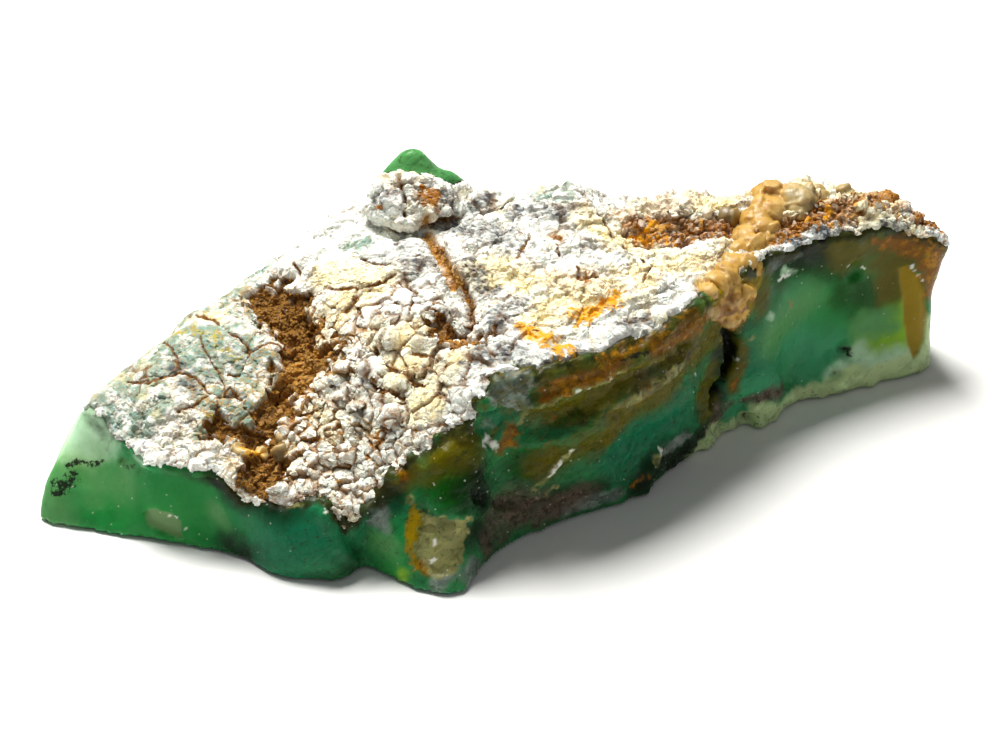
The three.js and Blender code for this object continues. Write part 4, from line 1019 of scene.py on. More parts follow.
# %% Tint masks for the rind
def rind_tints(points, shade):
    """Where soil, iron, cream, green and smoke lie on the rind."""
    loose, blocks, net, crusty = (shade[name] for name in ("loose", "blocks", "net", "crusty"))
    frayed = wandered(wandered(points, 0.8, 1.8, 50), 0.3, 0.5, 53)
    torn = chipped(frayed, 0.45, 0.5, 52)
    patchy = 0.5 + 0.5 * ragged(points, 3.2, 51)
    speckled = 0.5 + 0.5 * ragged(points, 0.8, 54)
    inside, _ = to_rim(points)
    bare_rim = np.exp(-((inside / 0.35) ** 2)) * step_up(20, 23, points[:, 0])
    bare_rim = bare_rim * step_up(17, 15.6, points[:, 1])
    near_soil = painted(frayed, [(3.4, *path) for _, *path in HOLLOW], 0.8)

    soil = 1.1 * shade["wide"] + 2.4 * shade["thin"] ** 2 + 0.9 * shade["net_lines"]
    soil += 1.1 * step_up(0.3, 0.7, shade["hollow"]) + step_up(0.3, 0.8, shade["patch"])
    packed = 0.05 + (0.85 + 0.5 * near_soil) * loose + 0.25 * blocks
    soil += shade["mid_clefts"] ** 0.7 * packed * (0.4 + 0.8 * patchy)
    soil += shade["big_clefts"] * (0.12 + 0.6 * blocks + 0.5 * crusty * patchy)
    soil += shade["fine_clefts"] * (0.1 + 0.3 * near_soil) * (0.8 * loose + crusty * patchy)

    track = painted(torn, [(1.9, *HONEY_TRACK)], 0.4)
    rust = painted(torn, RUST, 0.35) + 0.6 * track * step_up(0.4, 0.7, speckled)
    rust = rust + 0.9 * shade["brown"] * step_up(0.15, 0.6, patchy)
    orange = painted(torn, ORANGE, 0.4) + 0.8 * shade["brown"] * step_up(0.62, 0.8, speckled)
    cream = painted(frayed, CREAM, 0.8) * (0.3 + 0.5 * shade["tone"] + 0.4 * speckled)
    cream += 0.7 * step_up(0.0, 0.5, ragged(points, 2.6, 57)) * speckled * (1 - 0.6 * shade["plate"])
    cream += 0.4 * loose * speckled
    pink = painted(frayed, PINK, 0.8) * (0.4 + 0.6 * patchy)
    pink += 0.25 * loose * step_up(0.5, 1, shade["tone"])
    green = painted(frayed, GREENISH, 0.7) * (0.3 + 0.9 * step_up(0.3, 0.7, speckled))
    green += net * step_up(0.5, 0.7, speckled) * 0.7
    # Grey on the rind, partly streaks and grey grains, partly painted shade in the blue-grey places.
    grey_and_shade = painted(frayed, GREY_AND_SHADE, 0.8) * (0.35 + 0.65 * step_up(0.35, 0.75, speckled))
    grey_and_shade += 0.35 * step_up(0.8, 0.98, shade["fine_tone"]) * (crusty + loose)
    grey_and_shade += 0.5 * bare_rim * step_up(0.5, 0.8, speckled)
    ochre = painted(frayed, OCHRE, 0.6) + 0.25 * near_soil + 0.45 * loose
    dust = 0.15 + 0.25 * net + 0.7 * near_soil + 0.3 * loose + 0.1 * blocks + 0.3 * cream

    dry = 1 - 0.8 * bare_rim
    masks = {
        "soil": soil * dry, "rust": rust * dry, "orange": orange * dry, "cream": cream, "pink": pink,
        "green": green, "grey_and_shade": grey_and_shade, "ochre": ochre * (1 - shade["thin"]),
        "vein": painted(torn, VEIN, 0.5), "dust": dust - 0.3 * bare_rim,
        "sugar": 0.25 + 0.75 * net + 0.65 * loose + 0.3 * blocks,
        "tone": 0.5 * shade["tone"] + 0.5 * shade["fine_tone"],
    }
    return {name: np.clip(mask, 0, 1) for name, mask in masks.items()}


rind_masks = rind_tints(rind_skin, shade)
print("rind's tints:", {name: round(float(mask.mean()), 3) for name, mask in rind_masks.items()})

# %% [markdown]
# ## Closing and dividing the sheet
# An open sheet shows its hollow side wherever its border lifts. So the border is turned down
# into the stone and shut with a fan of triangles deep inside, where nobody sees it. The sheet
# is also cut in three, because one mesh of it all would be too heavy to handle. A straight cut
# would show, so it follows the clefts between the stones. Turns of more than a set angle stay
# sharp: rind breaks with edges, and smooth shading alone would make it look like dough.

# %% Close the rind underneath
WALL_DEPTH = 1.2
LOWEST_FAN = 3


def open_edges(quads):
    """The edges that only one face uses, in the way round that face."""
    sides = np.concatenate([quads[:, [k, (k + 1) % 4]] for k in range(4)])
    _, which, count = np.unique(np.sort(sides, axis=1), axis=0, return_inverse=True, return_counts=True)
    return sides[count[which.ravel()] == 1]


def close_inside(points, quads, outward, depth):
    """Turns the open border into the stone and shuts it with a fan deep inside."""
    border = open_edges(quads)
    ring, where = np.unique(border, return_inverse=True)
    where = where.reshape(-1, 2) + len(points)
    middle = points[ring].mean(axis=0)
    middle[2] = max(middle[2] - depth, LOWEST_FAN)
    lower = points[ring] - WALL_DEPTH * outward[ring]
    centre = len(points) + len(ring)
    wall = np.stack([border[:, 1], border[:, 0], where[:, 0], where[:, 1]], axis=1)
    fan = np.stack([where[:, 1], where[:, 0], np.full(len(border), centre)], axis=1)
    return np.concatenate([points, lower, middle[None]]), wall, fan


print("the sheet's border has", len(open_edges(rind_quads)), "edges")

# %% Cut the rind along its clefts
RIND_PIECES = 3
FAN_DEPTH = 4
CREASE = 24

bent = wandered(rind_skin, *STONE_SHAKE)
stone_middle = bent[:, 0] - broken(bent, *STONES)[1][:, 0]
face_place = stone_middle[rind_quads[:, 0]]
cuts = np.quantile(face_place, np.linspace(0, 1, RIND_PIECES + 1))
share = np.clip(np.searchsorted(cuts, face_place, side="right") - 1, 0, RIND_PIECES - 1)
rinds = []
for number in range(RIND_PIECES):
    used, corners = np.unique(rind_quads[share == number], return_inverse=True)
    part_quads = corners.reshape(-1, 4)
    closed, wall, fan = close_inside(rind_points[used], part_quads, rind_out[used], FAN_DEPTH)
    buried = np.zeros(len(closed) - len(used))
    part_masks = {name: np.concatenate([mask[used], buried]) for name, mask in rind_masks.items()}
    name = f"pale_rind_{number + 1}"
    rinds.append(make_piece(name, closed, [part_quads, wall, fan], part_masks, crease=CREASE))

# %% [markdown]
# ## Crumbs of rind and soil
# Clefts alone look carved. On the real rind hundreds of sharp crumbs sit loose-looking but
# grown fast, with light behind them and soil under them. Particles would be lost on export,
# so the crumbs are real meshes: a few broken shapes, copied, turned and sized in one go, and
# joined. They are set on the rind's own points, more of them where it fell apart.

# %% Broken shapes to copy
def broken_shapes(count, corners, seed):
    """Small sharp solids about 1 mm in radius, each the hull of a few points on a ball."""
    rng = np.random.default_rng(seed)
    shapes = []
    for _ in range(count):
        places = rng.normal(size=(corners, 3))
        places /= np.linalg.norm(places, axis=1)[:, None]
        places *= rng.uniform(0.75, 1.0, (corners, 1))
        mesh = bmesh.new()
        for place in places:
            mesh.verts.new(place)
        hull = bmesh.ops.convex_hull(mesh, input=mesh.verts)
        inside = [v for v in hull["geom_interior"] if isinstance(v, bmesh.types.BMVert)]
        bmesh.ops.delete(mesh, geom=inside, context="VERTS")
        mesh.verts.ensure_lookup_table()
        points = np.array([v.co[:] for v in mesh.verts])
        faces = np.array([[v.index for v in face.verts] for face in mesh.faces])
        shapes.append((points, faces))
        mesh.free()
    return shapes


def strew(spots, ways, sizes, shapes, seed):
    """Copies of the shapes, turned at random, each lying along the surface it sits on."""
    rng = np.random.default_rng(seed)
    all_points, all_faces, owners, total = [], [], [], 0
    for number, (spot, way, size) in enumerate(zip(spots, ways, sizes)):
        points, faces = shapes[rng.integers(len(shapes))]
        turn = np.linalg.qr(rng.normal(size=(3, 3)))[0]
        turn *= np.sign(np.linalg.det(turn))
        placed = (points * rng.uniform(0.7, 1.15, 3)) @ turn.T
        placed -= 0.45 * (placed @ way)[:, None] * way
        all_points.append(placed * size + spot)
        all_faces.append(faces + total)
        owners.append(np.full(len(points), number))
        total += len(points)
    return np.concatenate(all_points), np.concatenate(all_faces), np.concatenate(owners)


crumb_shapes = broken_shapes(count=16, corners=11, seed=5)
print("crumb shapes with", [len(faces) for _, faces in crumb_shapes], "faces")

# %% Strew the rind's crumbs
RIND_CRUMBS = 2000
CRUMB_SIZE = (0.17, 0.62)


def pick_spots(count, weights, rng):
    """The numbers of some points, each taken once, heavy ones more often."""
    return rng.choice(len(weights), size=count, replace=False, p=weights / weights.sum())


rng = np.random.default_rng(8)
settled = step_up(0.1, 0.5, rind_over) * (1 - shade["plate"]) * (1 - 0.9 * shade["net"])
fringe = np.exp(-((rind_over - 0.4) / 0.4) ** 2)
likely = 0.01 + 0.4 * shade["loose"] + 0.4 * fringe + 0.2 * shade["brown"] + 0.1 * shade["blocks"]
weights = settled * likely * (1 - 0.7 * rind_masks["soil"]) * (1 - 0.9 * shade["hollow"])
chosen = pick_spots(RIND_CRUMBS, np.maximum(weights, 1e-9), rng)
sizes = rng.uniform(0, 1, RIND_CRUMBS) ** 1.8 * (CRUMB_SIZE[1] - CRUMB_SIZE[0]) + CRUMB_SIZE[0]
spots = rind_points[chosen] - rind_out[chosen] * (0.15 * sizes)[:, None]
points, faces, owners = strew(spots, rind_out[chosen], sizes, crumb_shapes, 9)
tone = rng.uniform(0, 1, RIND_CRUMBS)
crumb_masks = {name: (0.7 * mask[chosen])[owners] for name, mask in rind_masks.items()}
crumb_masks["soil"] = np.clip(0.5 * rind_masks["soil"][chosen] * (tone < 0.3), 0, 1)[owners]
crumb_masks["sugar"] = (0.3 + 0.5 * (tone > 0.7))[owners]
crumb_masks["tone"] = tone[owners]
rind_crumbs = make_piece("rind_crumbs", points, [faces], crumb_masks, smooth=False)

# %% Strew the soil
SOIL_CRUMBS = 6800
SOIL_SIZE = (0.07, 0.24)

soil_shapes = broken_shapes(count=8, corners=9, seed=12)
soil_weight = step_up(0.45, 0.9, rind_masks["soil"]) * (0.15 + 1.5 * shade["hollow"] + 1.2 * shade["wide"])
soil_weight += 0.16 * shade["brown"] + 0.5 * shade["patch"]
soil_weight *= step_up(0.2, 0.6, rind_over)
chosen = pick_spots(SOIL_CRUMBS, np.maximum(soil_weight, 1e-9), rng)
sizes = rng.uniform(0, 1, SOIL_CRUMBS) ** 2 * (SOIL_SIZE[1] - SOIL_SIZE[0]) + SOIL_SIZE[0]
spots = rind_points[chosen] + rind_out[chosen] * (0.05 * sizes)[:, None]
points, faces, owners = strew(spots, rind_out[chosen], sizes, soil_shapes, 13)
soil_masks = {name: rind_masks[name][chosen][owners] for name in ("rust", "orange", "ochre")}
soil_masks["tone"] = rng.uniform(0, 1, SOIL_CRUMBS)[owners]
soil_crumbs = make_piece("soil_crumbs", points, [faces], soil_masks, smooth=False)

# %% [markdown]
# ## Honey chalcedony
# A younger vein crosses the slab between the long face and the right-hand block. On top it
# stands proud as a row of waxy yellow lumps, and a few lumps of the same kind sit in the
# rubble. They are balls, half sunk in the rind. A voxel remesh melts them together as one
# growth, and noise then swells them out of round.

# %% Places of the lumps
HONEY_LUMPS = [
    ((24.9, 14.6, 18.2), 1.9), ((24.6, 13, 18.2), 1.7), ((23.7, 11.6, 17.9), 1.6), ((24, 10.2, 17.7), 1.5),
    ((22.7, 9.6, 17.2), 1.5), ((23, 8.2, 17.2), 1.4), ((21.8, 7, 17.2), 1.4), ((22.3, 5.9, 16.9), 1.3),
    ((21, 4.9, 17), 1.4), ((20.2, 3.7, 16.9), 1.4), ((21.5, 4.0, 15.6), 1.2), ((19.4, 2.4, 16.9), 1.35),
    ((18.3, 1.0, 17), 1.1), ((20.2, 2.6, 15.7), 1.3), ((19, 1.2, 16), 1.1), ((21, 3.5, 14.3), 1.1),
    ((20.3, 2.8, 14), 0.95), ((20.7, 3.2, 13), 0.8), ((21.5, 4.1, 13.2), 0.75), ((18, 0, 16.2), 0.75),
    ((20.6, 3.2, 12.3), 0.5), ((19.2, 1.4, 14.9), 0.8),
]
CLEAR_LUMPS = [
    ((27.4, 14, 18.6), 1.9), ((27.1, 12.9, 18.2), 1.4), ((29.4, 15.2, 18.4), 1.2),
    ((32.2, 15.8, 17.9), 1.1),
]
NODULES = [
    ((-18.9, -10.9, 8.4), 0.75), ((-18.2, -11.2, 8.4), 0.6), ((-19, -10, 8.9), 0.55),
    ((-13.8, -5.9, 13), 0.7), ((-13.3, -6.6, 12.6), 0.5), ((9.4, 12.6, 17.6), 1.0),
    ((33.6, 14.4, 17), 0.8), ((20.8, 12.4, 18), 1.0),
]
OCHRE_LUMPS = [
    ((-23, -10.2, 8), 0.42), ((-22.5, -10.5, 8.1), 0.5), ((-22, -10.8, 8.1), 0.5),
    ((-21.4, -10.9, 8.1), 0.5), ((-20.9, -10.6, 8), 0.42),
]
YELLOWEST = [(1.8, (21.6, 4.6, 16), (21.6, 4, 14)), (1.2, (18.4, 1.2, 16.6))]

lumps = [*HONEY_LUMPS, *CLEAR_LUMPS, *NODULES, *OCHRE_LUMPS]
print(len(lumps), "lumps")

# %% Grow the lumps
LUMP_VOXEL = 0.15
BALL_DETAIL = 4
MELTING_ROUNDS = 24


def ball(detail):
    """The points and faces of a ball of triangles, 1 mm in radius."""
    mesh = bmesh.new()
    bmesh.ops.create_icosphere(mesh, subdivisions=detail, radius=1.0)
    points = np.array([v.co[:] for v in mesh.verts])
    faces = np.array([[v.index for v in face.verts] for face in mesh.faces])
    mesh.free()
    return points, faces


def melted(lumps):
    """Balls that are joined where they meet, as lumps of one growth."""
    ball_points, ball_faces = ball(BALL_DETAIL)
    points = np.concatenate([ball_points * size + place for place, size in lumps])
    faces = np.concatenate([ball_faces + k * len(ball_points) for k in range(len(lumps))])
    mesh = bpy.data.meshes.new("balls")
    mesh.from_pydata((points - MIDDLE) * MM, [], faces.tolist())
    grown, quads = voxel_copy(mesh, LUMP_VOXEL)
    bpy.data.meshes.remove(mesh)
    return relax(grown, edges_of(quads), MELTING_ROUNDS), quads


honey_points, honey_quads = melted(lumps)
honey_quads, honey_out = faced_out(honey_points, honey_quads, rounds=3)
shaken = wandered(honey_points, 0.3, 0.9, 6)
waxy, _, waxy_traits = rubble(shaken, 2.0, 7, tilt=0.5, step=0.12, gap=0.12)
swell = 0.15 + 0.25 * ragged(honey_points, 1.6, 3) + 0.55 * waxy + 0.06 * ragged(honey_points, 0.5, 4)
honey_points = relax(honey_points + honey_out * swell[:, None], edges_of(honey_quads), rounds=3)


def by_lumps(points, lumps):
    """1 on the named lumps and 0 on the others."""
    return painted(points, [(1.25 * size, place) for place, size in lumps], 0.2)


honey_masks = {
    "iron": by_lumps(honey_points, HONEY_LUMPS), "ochre": by_lumps(honey_points, OCHRE_LUMPS),
    # Darker brown patches, more of them the further a face turns down.
    "soil": step_up(0.25, 0.7, ragged(honey_points, 0.9, 8) - 0.5 * honey_out[:, 2] + 0.25),
    "dark": by_lumps(honey_points, NODULES), "tone": waxy_traits[:, 1],
    "yellow": painted(honey_points, YELLOWEST, 0.8),
}
honey_lumps = make_piece("honey_lumps", honey_points, [honey_quads], honey_masks)

# %% [markdown]
# ## Small effects that several materials share
# Stone is never one tone, and never quite smooth. Three node groups hold that, so that every
# material has the same fineness. One mixes a tint into a colour along cloudy borders, one is
# the height of fine grit for bump, and one packs small grains side by side. Short functions
# add nodes, because a node and its links take one line then.

# %% Helpers for nodes
def node(tree, kind, inputs=None, **settings):
    """A node with its settings, and its inputs joined to sockets or set to values."""
    made = tree.nodes.new("ShaderNode" + kind)
    for name, value in settings.items():
        setattr(made, name, value)
    for name, value in (inputs or {}).items():
        if isinstance(value, bpy.types.NodeSocket):
            tree.links.new(value, made.inputs[name])
        else:
            made.inputs[name].default_value = value
    return made


def maths(tree, operation, first, second, clamp=False):
    """One step of arithmetic on two sockets or values."""
    return node(tree, "Math", {0: first, 1: second}, operation=operation, use_clamp=clamp).outputs[0]


def times(tree, first, second, clamp=False):
    """The product of two sockets or values."""
    return maths(tree, "MULTIPLY", first, second, clamp)


def ramp(tree, value, low, high, start=0.0, end=1.0):
    """From start to end while the value goes from low to high, and level beyond."""
    return node(tree, "MapRange", {0: value, 1: low, 2: high, 3: start, 4: end}).outputs[0]


def blend(tree, share, first, second):
    """The first colour where the share is 0, and the second where it is 1."""
    return node(tree, "Mix", {0: share, 6: first, 7: second}, data_type="RGBA").outputs[2]


def mask(tree, name):
    """A tint mask that was stored on the mesh's points."""
    return node(tree, "Attribute", attribute_name=name).outputs["Fac"]


def colour(red, green, blue):
    """An opaque colour."""
    return (red, green, blue, 1.0)


def group(name, inputs, outputs):
    """A new shader node group with its sockets, and its input and output nodes."""
    tree = bpy.data.node_groups.new(name, "ShaderNodeTree")
    for label, kind in inputs.items():
        tree.interface.new_socket(label, in_out="INPUT", socket_type=kind)
    for label, kind in outputs.items():
        tree.interface.new_socket(label, in_out="OUTPUT", socket_type=kind)
    return tree, tree.nodes.new("NodeGroupInput"), tree.nodes.new("NodeGroupOutput")


PER_MM = 1 / MM
print("a texture scale of", PER_MM, "gives features of 1 mm")

# %% Cloudy tint
tint_group, tint_in, tint_out = group(
    "cloudy_tint",
    {"Vector": "NodeSocketVector", "Colour": "NodeSocketColor", "Tint": "NodeSocketColor",
     "Share": "NodeSocketFloat", "Scale": "NodeSocketFloat", "Fray": "NodeSocketFloat"},
    {"Colour": "NodeSocketColor"},
)
sockets = tint_in.outputs
place = {"Vector": sockets["Vector"], "Scale": sockets["Scale"]}
cloud = node(tint_group, "TexNoise", {**place, "Detail": 5.0, "Roughness": 0.6})
lifted = maths(tint_group, "SUBTRACT", cloud.outputs["Fac"], 0.5)
frayed = times(tint_group, lifted, sockets["Fray"])
share = maths(tint_group, "ADD", sockets["Share"], frayed)
share = times(tint_group, share, times(tint_group, sockets["Share"], 2.5, True), True)
tinted_colour = blend(tint_group, share, sockets["Colour"], sockets["Tint"])
tint_group.links.new(tinted_colour, tint_out.inputs["Colour"])
print("cloudy_tint has", len(tint_group.nodes), "nodes")

# %% Fine grit
grit_group, grit_in, grit_out = group(
    "fine_grit",
    {"Vector": "NodeSocketVector", "Scale": "NodeSocketFloat", "Pits": "NodeSocketFloat"},
    {"Height": "NodeSocketFloat"},
)
place = {"Vector": grit_in.outputs["Vector"], "Scale": grit_in.outputs["Scale"]}
soft = node(grit_group, "TexNoise", {**place, "Detail": 6.0, "Roughness": 0.65})
cells = node(grit_group, "TexVoronoi", place)
pits = times(grit_group, cells.outputs["Distance"], grit_in.outputs["Pits"])
grit_height = maths(grit_group, "SUBTRACT", soft.outputs["Fac"], pits)
grit_group.links.new(grit_height, grit_out.inputs["Height"])
print("fine_grit has", len(grit_group.nodes), "nodes")

# %% Grain mosaic
EDGE_WIDTH = (0.02, 0.1)
HEART_SIZE = (0.5, 0.15)
GLASSY_GRAINS = (0.45, 0.6)

grain_group, grain_in, grain_out = group(
    "grain_mosaic",
    {"Vector": "NodeSocketVector", "Scale": "NodeSocketFloat"},
    {name: "NodeSocketFloat" for name in ("Height", "Tone", "Heart", "Edge")},
)
place = {"Vector": grain_in.outputs["Vector"], "Scale": grain_in.outputs["Scale"]}
grains = node(grain_group, "TexVoronoi", place)
borders = node(grain_group, "TexVoronoi", place, feature="DISTANCE_TO_EDGE")
traits = node(grain_group, "SeparateColor", {0: grains.outputs["Color"]})


def vector_maths(operation, inputs):
    """One step of arithmetic on vectors in the mosaic's tree."""
    return node(grain_group, "VectorMath", inputs, operation=operation).outputs


offset = vector_maths("SUBTRACT", {0: place["Vector"], 1: grains.outputs["Position"]})[0]
offset = vector_maths("SCALE", {0: offset, "Scale": place["Scale"]})[0]
slope = vector_maths("SUBTRACT", {0: grains.outputs["Color"], 1: (0.5, 0.5, 0.5)})[0]
facet = vector_maths("DOT_PRODUCT", {0: offset, 1: slope})["Value"]
edge_mask = ramp(grain_group, borders.outputs["Distance"], *EDGE_WIDTH, 1.0, 0.0)
heart = ramp(grain_group, grains.outputs["Distance"], *HEART_SIZE)
glassy = ramp(grain_group, traits.outputs[1], *GLASSY_GRAINS)
mosaic = {
    "Height": maths(grain_group, "SUBTRACT", facet, times(grain_group, edge_mask, 0.25)),
    "Tone": traits.outputs[0], "Heart": times(grain_group, heart, glassy), "Edge": edge_mask,
}
for name, socket in mosaic.items():
    grain_group.links.new(socket, grain_out.inputs[name])
print("grain_mosaic has", len(grain_group.nodes), "nodes")

# %% Put the groups into a material
def grain_mosaic(tree, vector, per_mm):
    """Packed grains: outputs for their height, tone, glassy heart and edge."""
    inputs = {"Vector": vector, "Scale": per_mm * PER_MM}
    return node(tree, "Group", inputs, node_tree=grain_group).outputs


def cloudy_tint(tree, vector, base, tint, share, per_mm, fray):
    """The base colour with a tint over it, whose border is frayed by clouds."""
    inputs = {"Vector": vector, "Colour": base, "Tint": tint, "Share": share, "Fray": fray}
    inputs["Scale"] = per_mm * PER_MM
    return node(tree, "Group", inputs, node_tree=tint_group).outputs["Colour"]


def fine_grit(tree, vector, per_mm, pits):
    """The height of fine grit, with pits from 0 up."""
    inputs = {"Vector": vector, "Scale": per_mm * PER_MM, "Pits": pits}
    return node(tree, "Group", inputs, node_tree=grit_group).outputs["Height"]


def misty(tree, vector, per_mm, detail, roughness=0.5):
    """Soft noise, around 0.5, in features of about 1 / per_mm millimetres."""
    inputs = {"Vector": vector, "Scale": per_mm * PER_MM, "Detail": detail, "Roughness": roughness}
    return node(tree, "TexNoise", inputs).outputs["Fac"]


def stretched(tree, vector, lengths, turn):
    """Coordinates that draw noise out into streaks: longer along the turned axes by lengths."""
    inputs = {"Vector": vector, "Scale": lengths, "Rotation": turn}
    return node(tree, "Mapping", inputs, vector_type="TEXTURE").outputs[0]


def speckle(tree, vector, per_mm, low, high, strength):
    """Small spots of noise above a height, from 0 to strength."""
    return ramp(tree, misty(tree, vector, per_mm, 4.0, 0.7), low, high, 0.0, strength)


def hairlines(tree, vector, per_mm):
    """Thin wandering lines, where a soft noise passes through its middle, with gaps."""
    middle = maths(tree, "SUBTRACT", misty(tree, vector, per_mm, 6.0, 0.6), 0.5)
    line = ramp(tree, maths(tree, "ABSOLUTE", middle, 0.0), 0.003, 0.01, 0.8, 0.0)
    return times(tree, line, speckle(tree, vector, 0.7 * per_mm, 0.45, 0.6, 1.0))


def tinted(tree, tone, name, strength, tint):
    """The tone with a tint laid over it by a mask of the mesh."""
    return blend(tree, times(tree, mask(tree, name), strength), tone, tint)


print("short ways to add:", *(add.__name__ for add in (grain_mosaic, cloudy_tint, speckle, hairlines)))

# %% Start and finish a material
def new_material(name):
    """An empty material's tree, its coordinates, and its shader joined to the output."""
    material = bpy.data.materials.new(name)
    material.use_nodes = True
    tree = material.node_tree
    tree.nodes.clear()
    shader = node(tree, "BsdfPrincipled")
    output = node(tree, "OutputMaterial", {"Surface": shader.outputs[0]})
    output.location = (400, 0)
    vector = node(tree, "TexCoord").outputs["Object"]
    return material, tree, vector, shader


def cloudy_gloss(tree, vector, per_mm, smooth, rough, shader):
    """Roughness that goes in clouds from smooth to rough."""
    cloud = misty(tree, vector, per_mm, 5.0)
    tree.links.new(ramp(tree, cloud, 0.3, 0.7, smooth, rough), shader.inputs["Roughness"])


def bump(tree, height, strength, distance, shader):
    """Joins a height to the shader's normal, with the distance in millimetres."""
    made = node(tree, "Bump", {"Height": height, "Strength": strength, "Distance": distance * MM})
    tree.links.new(made.outputs[0], shader.inputs["Normal"])


print("materials so far:", len(bpy.data.materials))

# %% [markdown]
# ## Green chalcedony
# Light goes a few millimetres into chalcedony and comes out softened and greener, so the
# shader scatters under the surface. The tints are laid one over the other, thinnest last.
# The gloss is waxy: a break is smoother than it looks, so the roughness stays fairly low
# and changes in clouds.

# %% Tints of the green chalcedony
# The name of the mask, the colour, waves per mm and how far the border frays.
GREEN_LAYERS = [
    # Aqua, emerald, leaf, jade and milky are partly painted glow of light through thin stone.
    ("teal", colour(0.008, 0.16, 0.07), 0.3, 0.5), ("aqua", colour(0.045, 0.31, 0.13), 0.3, 0.5),
    ("emerald", colour(0.016, 0.25, 0.045), 0.25, 0.5), ("leaf", colour(0.24, 0.46, 0.02), 0.4, 0.6),
    # The near-black murk is partly painted shade, under the rind's lip and in the slit.
    ("bottle", colour(0.003, 0.07, 0.001), 0.5, 0.7), ("murk_and_shade", colour(0.004, 0.014, 0.003), 0.6, 0.8),
    ("jade", colour(0.09, 0.29, 0.09), 0.5, 0.8),
    ("slate", colour(0.24, 0.29, 0.25), 0.9, 0.9), ("mauve", colour(0.13, 0.095, 0.065), 1.2, 1.1),
    ("olive", colour(0.1, 0.085, 0.001), 0.6, 0.9), ("milky", colour(0.44, 0.66, 0.44), 0.6, 0.8),
    ("bone", colour(0.5, 0.64, 0.31), 0.7, 0.8), ("film", colour(0.24, 0.36, 0.16), 0.6, 0.25),
    # The dark strip under the rind's border is painted shade, with some iron stain.
    ("umber", colour(0.2, 0.075, 0.002), 1.2, 0.8), ("rim_shade_and_stain", colour(0.03, 0.03, 0.006), 1.0, 1.6),
    ("amber", colour(0.3, 0.195, 0.001), 0.8, 0.2),
    # Near-white: chalky streaks, and painted highlights on ridge crests and by the slit.
    ("tan", colour(0.34, 0.33, 0.12), 1.4, 0.7), ("chalk_and_highlight", colour(0.85, 0.85, 0.76), 2.5, 0.9),
    # Near-black painted shade in the slit and the dents.
    ("pit_shade", colour(0.003, 0.003, 0.002), 5.0, 0.9),
]
STREAKED = ("olive", "umber", "mauve", "slate", "tan", "murk_and_shade")
SHARDED = ("tan", "slate")

green, tree, vector, shader = new_material("green_chalcedony")
flow = stretched(tree, vector, (3.0, 1.0, 1.0), (0.0, -0.37, 0.64))
lighter_parts = speckle(tree, flow, 0.5, 0.35, 0.65, 1.0)
tone = blend(tree, lighter_parts, colour(0.012, 0.12, 0.035), colour(0.03, 0.23, 0.07))
shards = grain_mosaic(tree, vector, 0.9)
for name, tint, per_mm, fray in GREEN_LAYERS:
    if name in SHARDED:
        darker, lighter = (colour(*(share * level for level in tint[:3])) for share in (0.45, 1.15))
        tint = blend(tree, shards["Tone"], darker, lighter)
    coordinates = flow if name in STREAKED else vector
    tone = cloudy_tint(tree, coordinates, tone, tint, mask(tree, name), per_mm, fray)
print("green chalcedony has", len(GREEN_LAYERS), "tints")

# %% Spots, specks and gloss of the green chalcedony
uneven = maths(tree, "SUBTRACT", 1.0, mask(tree, "plain"))
veiled = maths(tree, "SUBTRACT", 1.15, mask(tree, "plain"))
# Where, along which coordinates, then waves per mm, low, high and strength, and the colour.
green_spots = [
    (veiled, flow, (1.1, 0.5, 0.75, 0.5), colour(0.004, 0.03, 0.006)),
    (mask(tree, "bands"), flow, (1.6, 0.5, 0.62, 0.75), colour(0.13, 0.1, 0.012)),
    (mask(tree, "bands"), flow, (2.6, 0.6, 0.68, 0.5), colour(0.01, 0.02, 0.002)),
    (mask(tree, "umber"), vector, (1.1, 0.5, 0.62, 0.75), colour(0.46, 0.2, 0.003)),
    (mask(tree, "mauve"), vector, (1.3, 0.5, 0.6, 0.75), colour(0.02, 0.012, 0.008)),
    (mask(tree, "mauve"), vector, (1.7, 0.6, 0.68, 0.6), colour(0.42, 0.33, 0.26)),
    (uneven, vector, (2.2, 0.58, 0.66, 0.7), colour(0.03, 0.035, 0.008)),
    (1.0, vector, (3.2, 0.69, 0.72, 0.6), colour(0.5, 0.55, 0.42)),
]
for where, coordinates, spot, tint in green_spots:
    tone = blend(tree, times(tree, where, speckle(tree, coordinates, *spot)), tone, tint)
dust = node(tree, "TexVoronoi", {"Vector": vector, "Scale": 0.9 * PER_MM})
dots = ramp(tree, dust.outputs["Distance"], 0.1, 0.05, 0.0, 0.6)
tone = blend(tree, dots, tone, colour(0.6, 0.62, 0.5))
speck_field = times(tree, mask(tree, "specks"), misty(tree, vector, 2.3, 6.0, 0.75))
specks = ramp(tree, speck_field, 0.42, 0.46, 0.0, 0.95)
tone = blend(tree, specks, tone, colour(0.012, 0.012, 0.01))
tree.links.new(tone, shader.inputs["Base Color"])
cloudy_gloss(tree, vector, 0.7, smooth=0.18, rough=0.42, shader=shader)
shader.inputs["IOR"].default_value = 1.54
shader.inputs["Specular IOR Level"].default_value = 0.1
shader.inputs["Subsurface Weight"].default_value = 0.4
shader.inputs["Subsurface Radius"].default_value = (0.5, 1.0, 0.6)
shader.inputs["Subsurface Scale"].default_value = 2.5 * MM
chips = times(tree, times(tree, grain_mosaic(tree, flow, 1.3)["Height"], 1.6), uneven)
height = maths(tree, "ADD", fine_grit(tree, vector, 1.8, pits=0.25), chips)
bump(tree, height, strength=0.4, distance=0.12, shader=shader)
green_body.data.materials.append(green)
print("green chalcedony has", len(green_spots), "kinds of spots")

# %% [markdown]
# ## Chalky rind
# The rind is dry and takes no polish: it is very rough, and its bump comes from packed grains
# and fine grit. Its white is nearly plain. Cream and green come from what shines through, iron
# paints orange, and soil comes after them because it fell in later. Only hairlines and small
# specks lie over it.

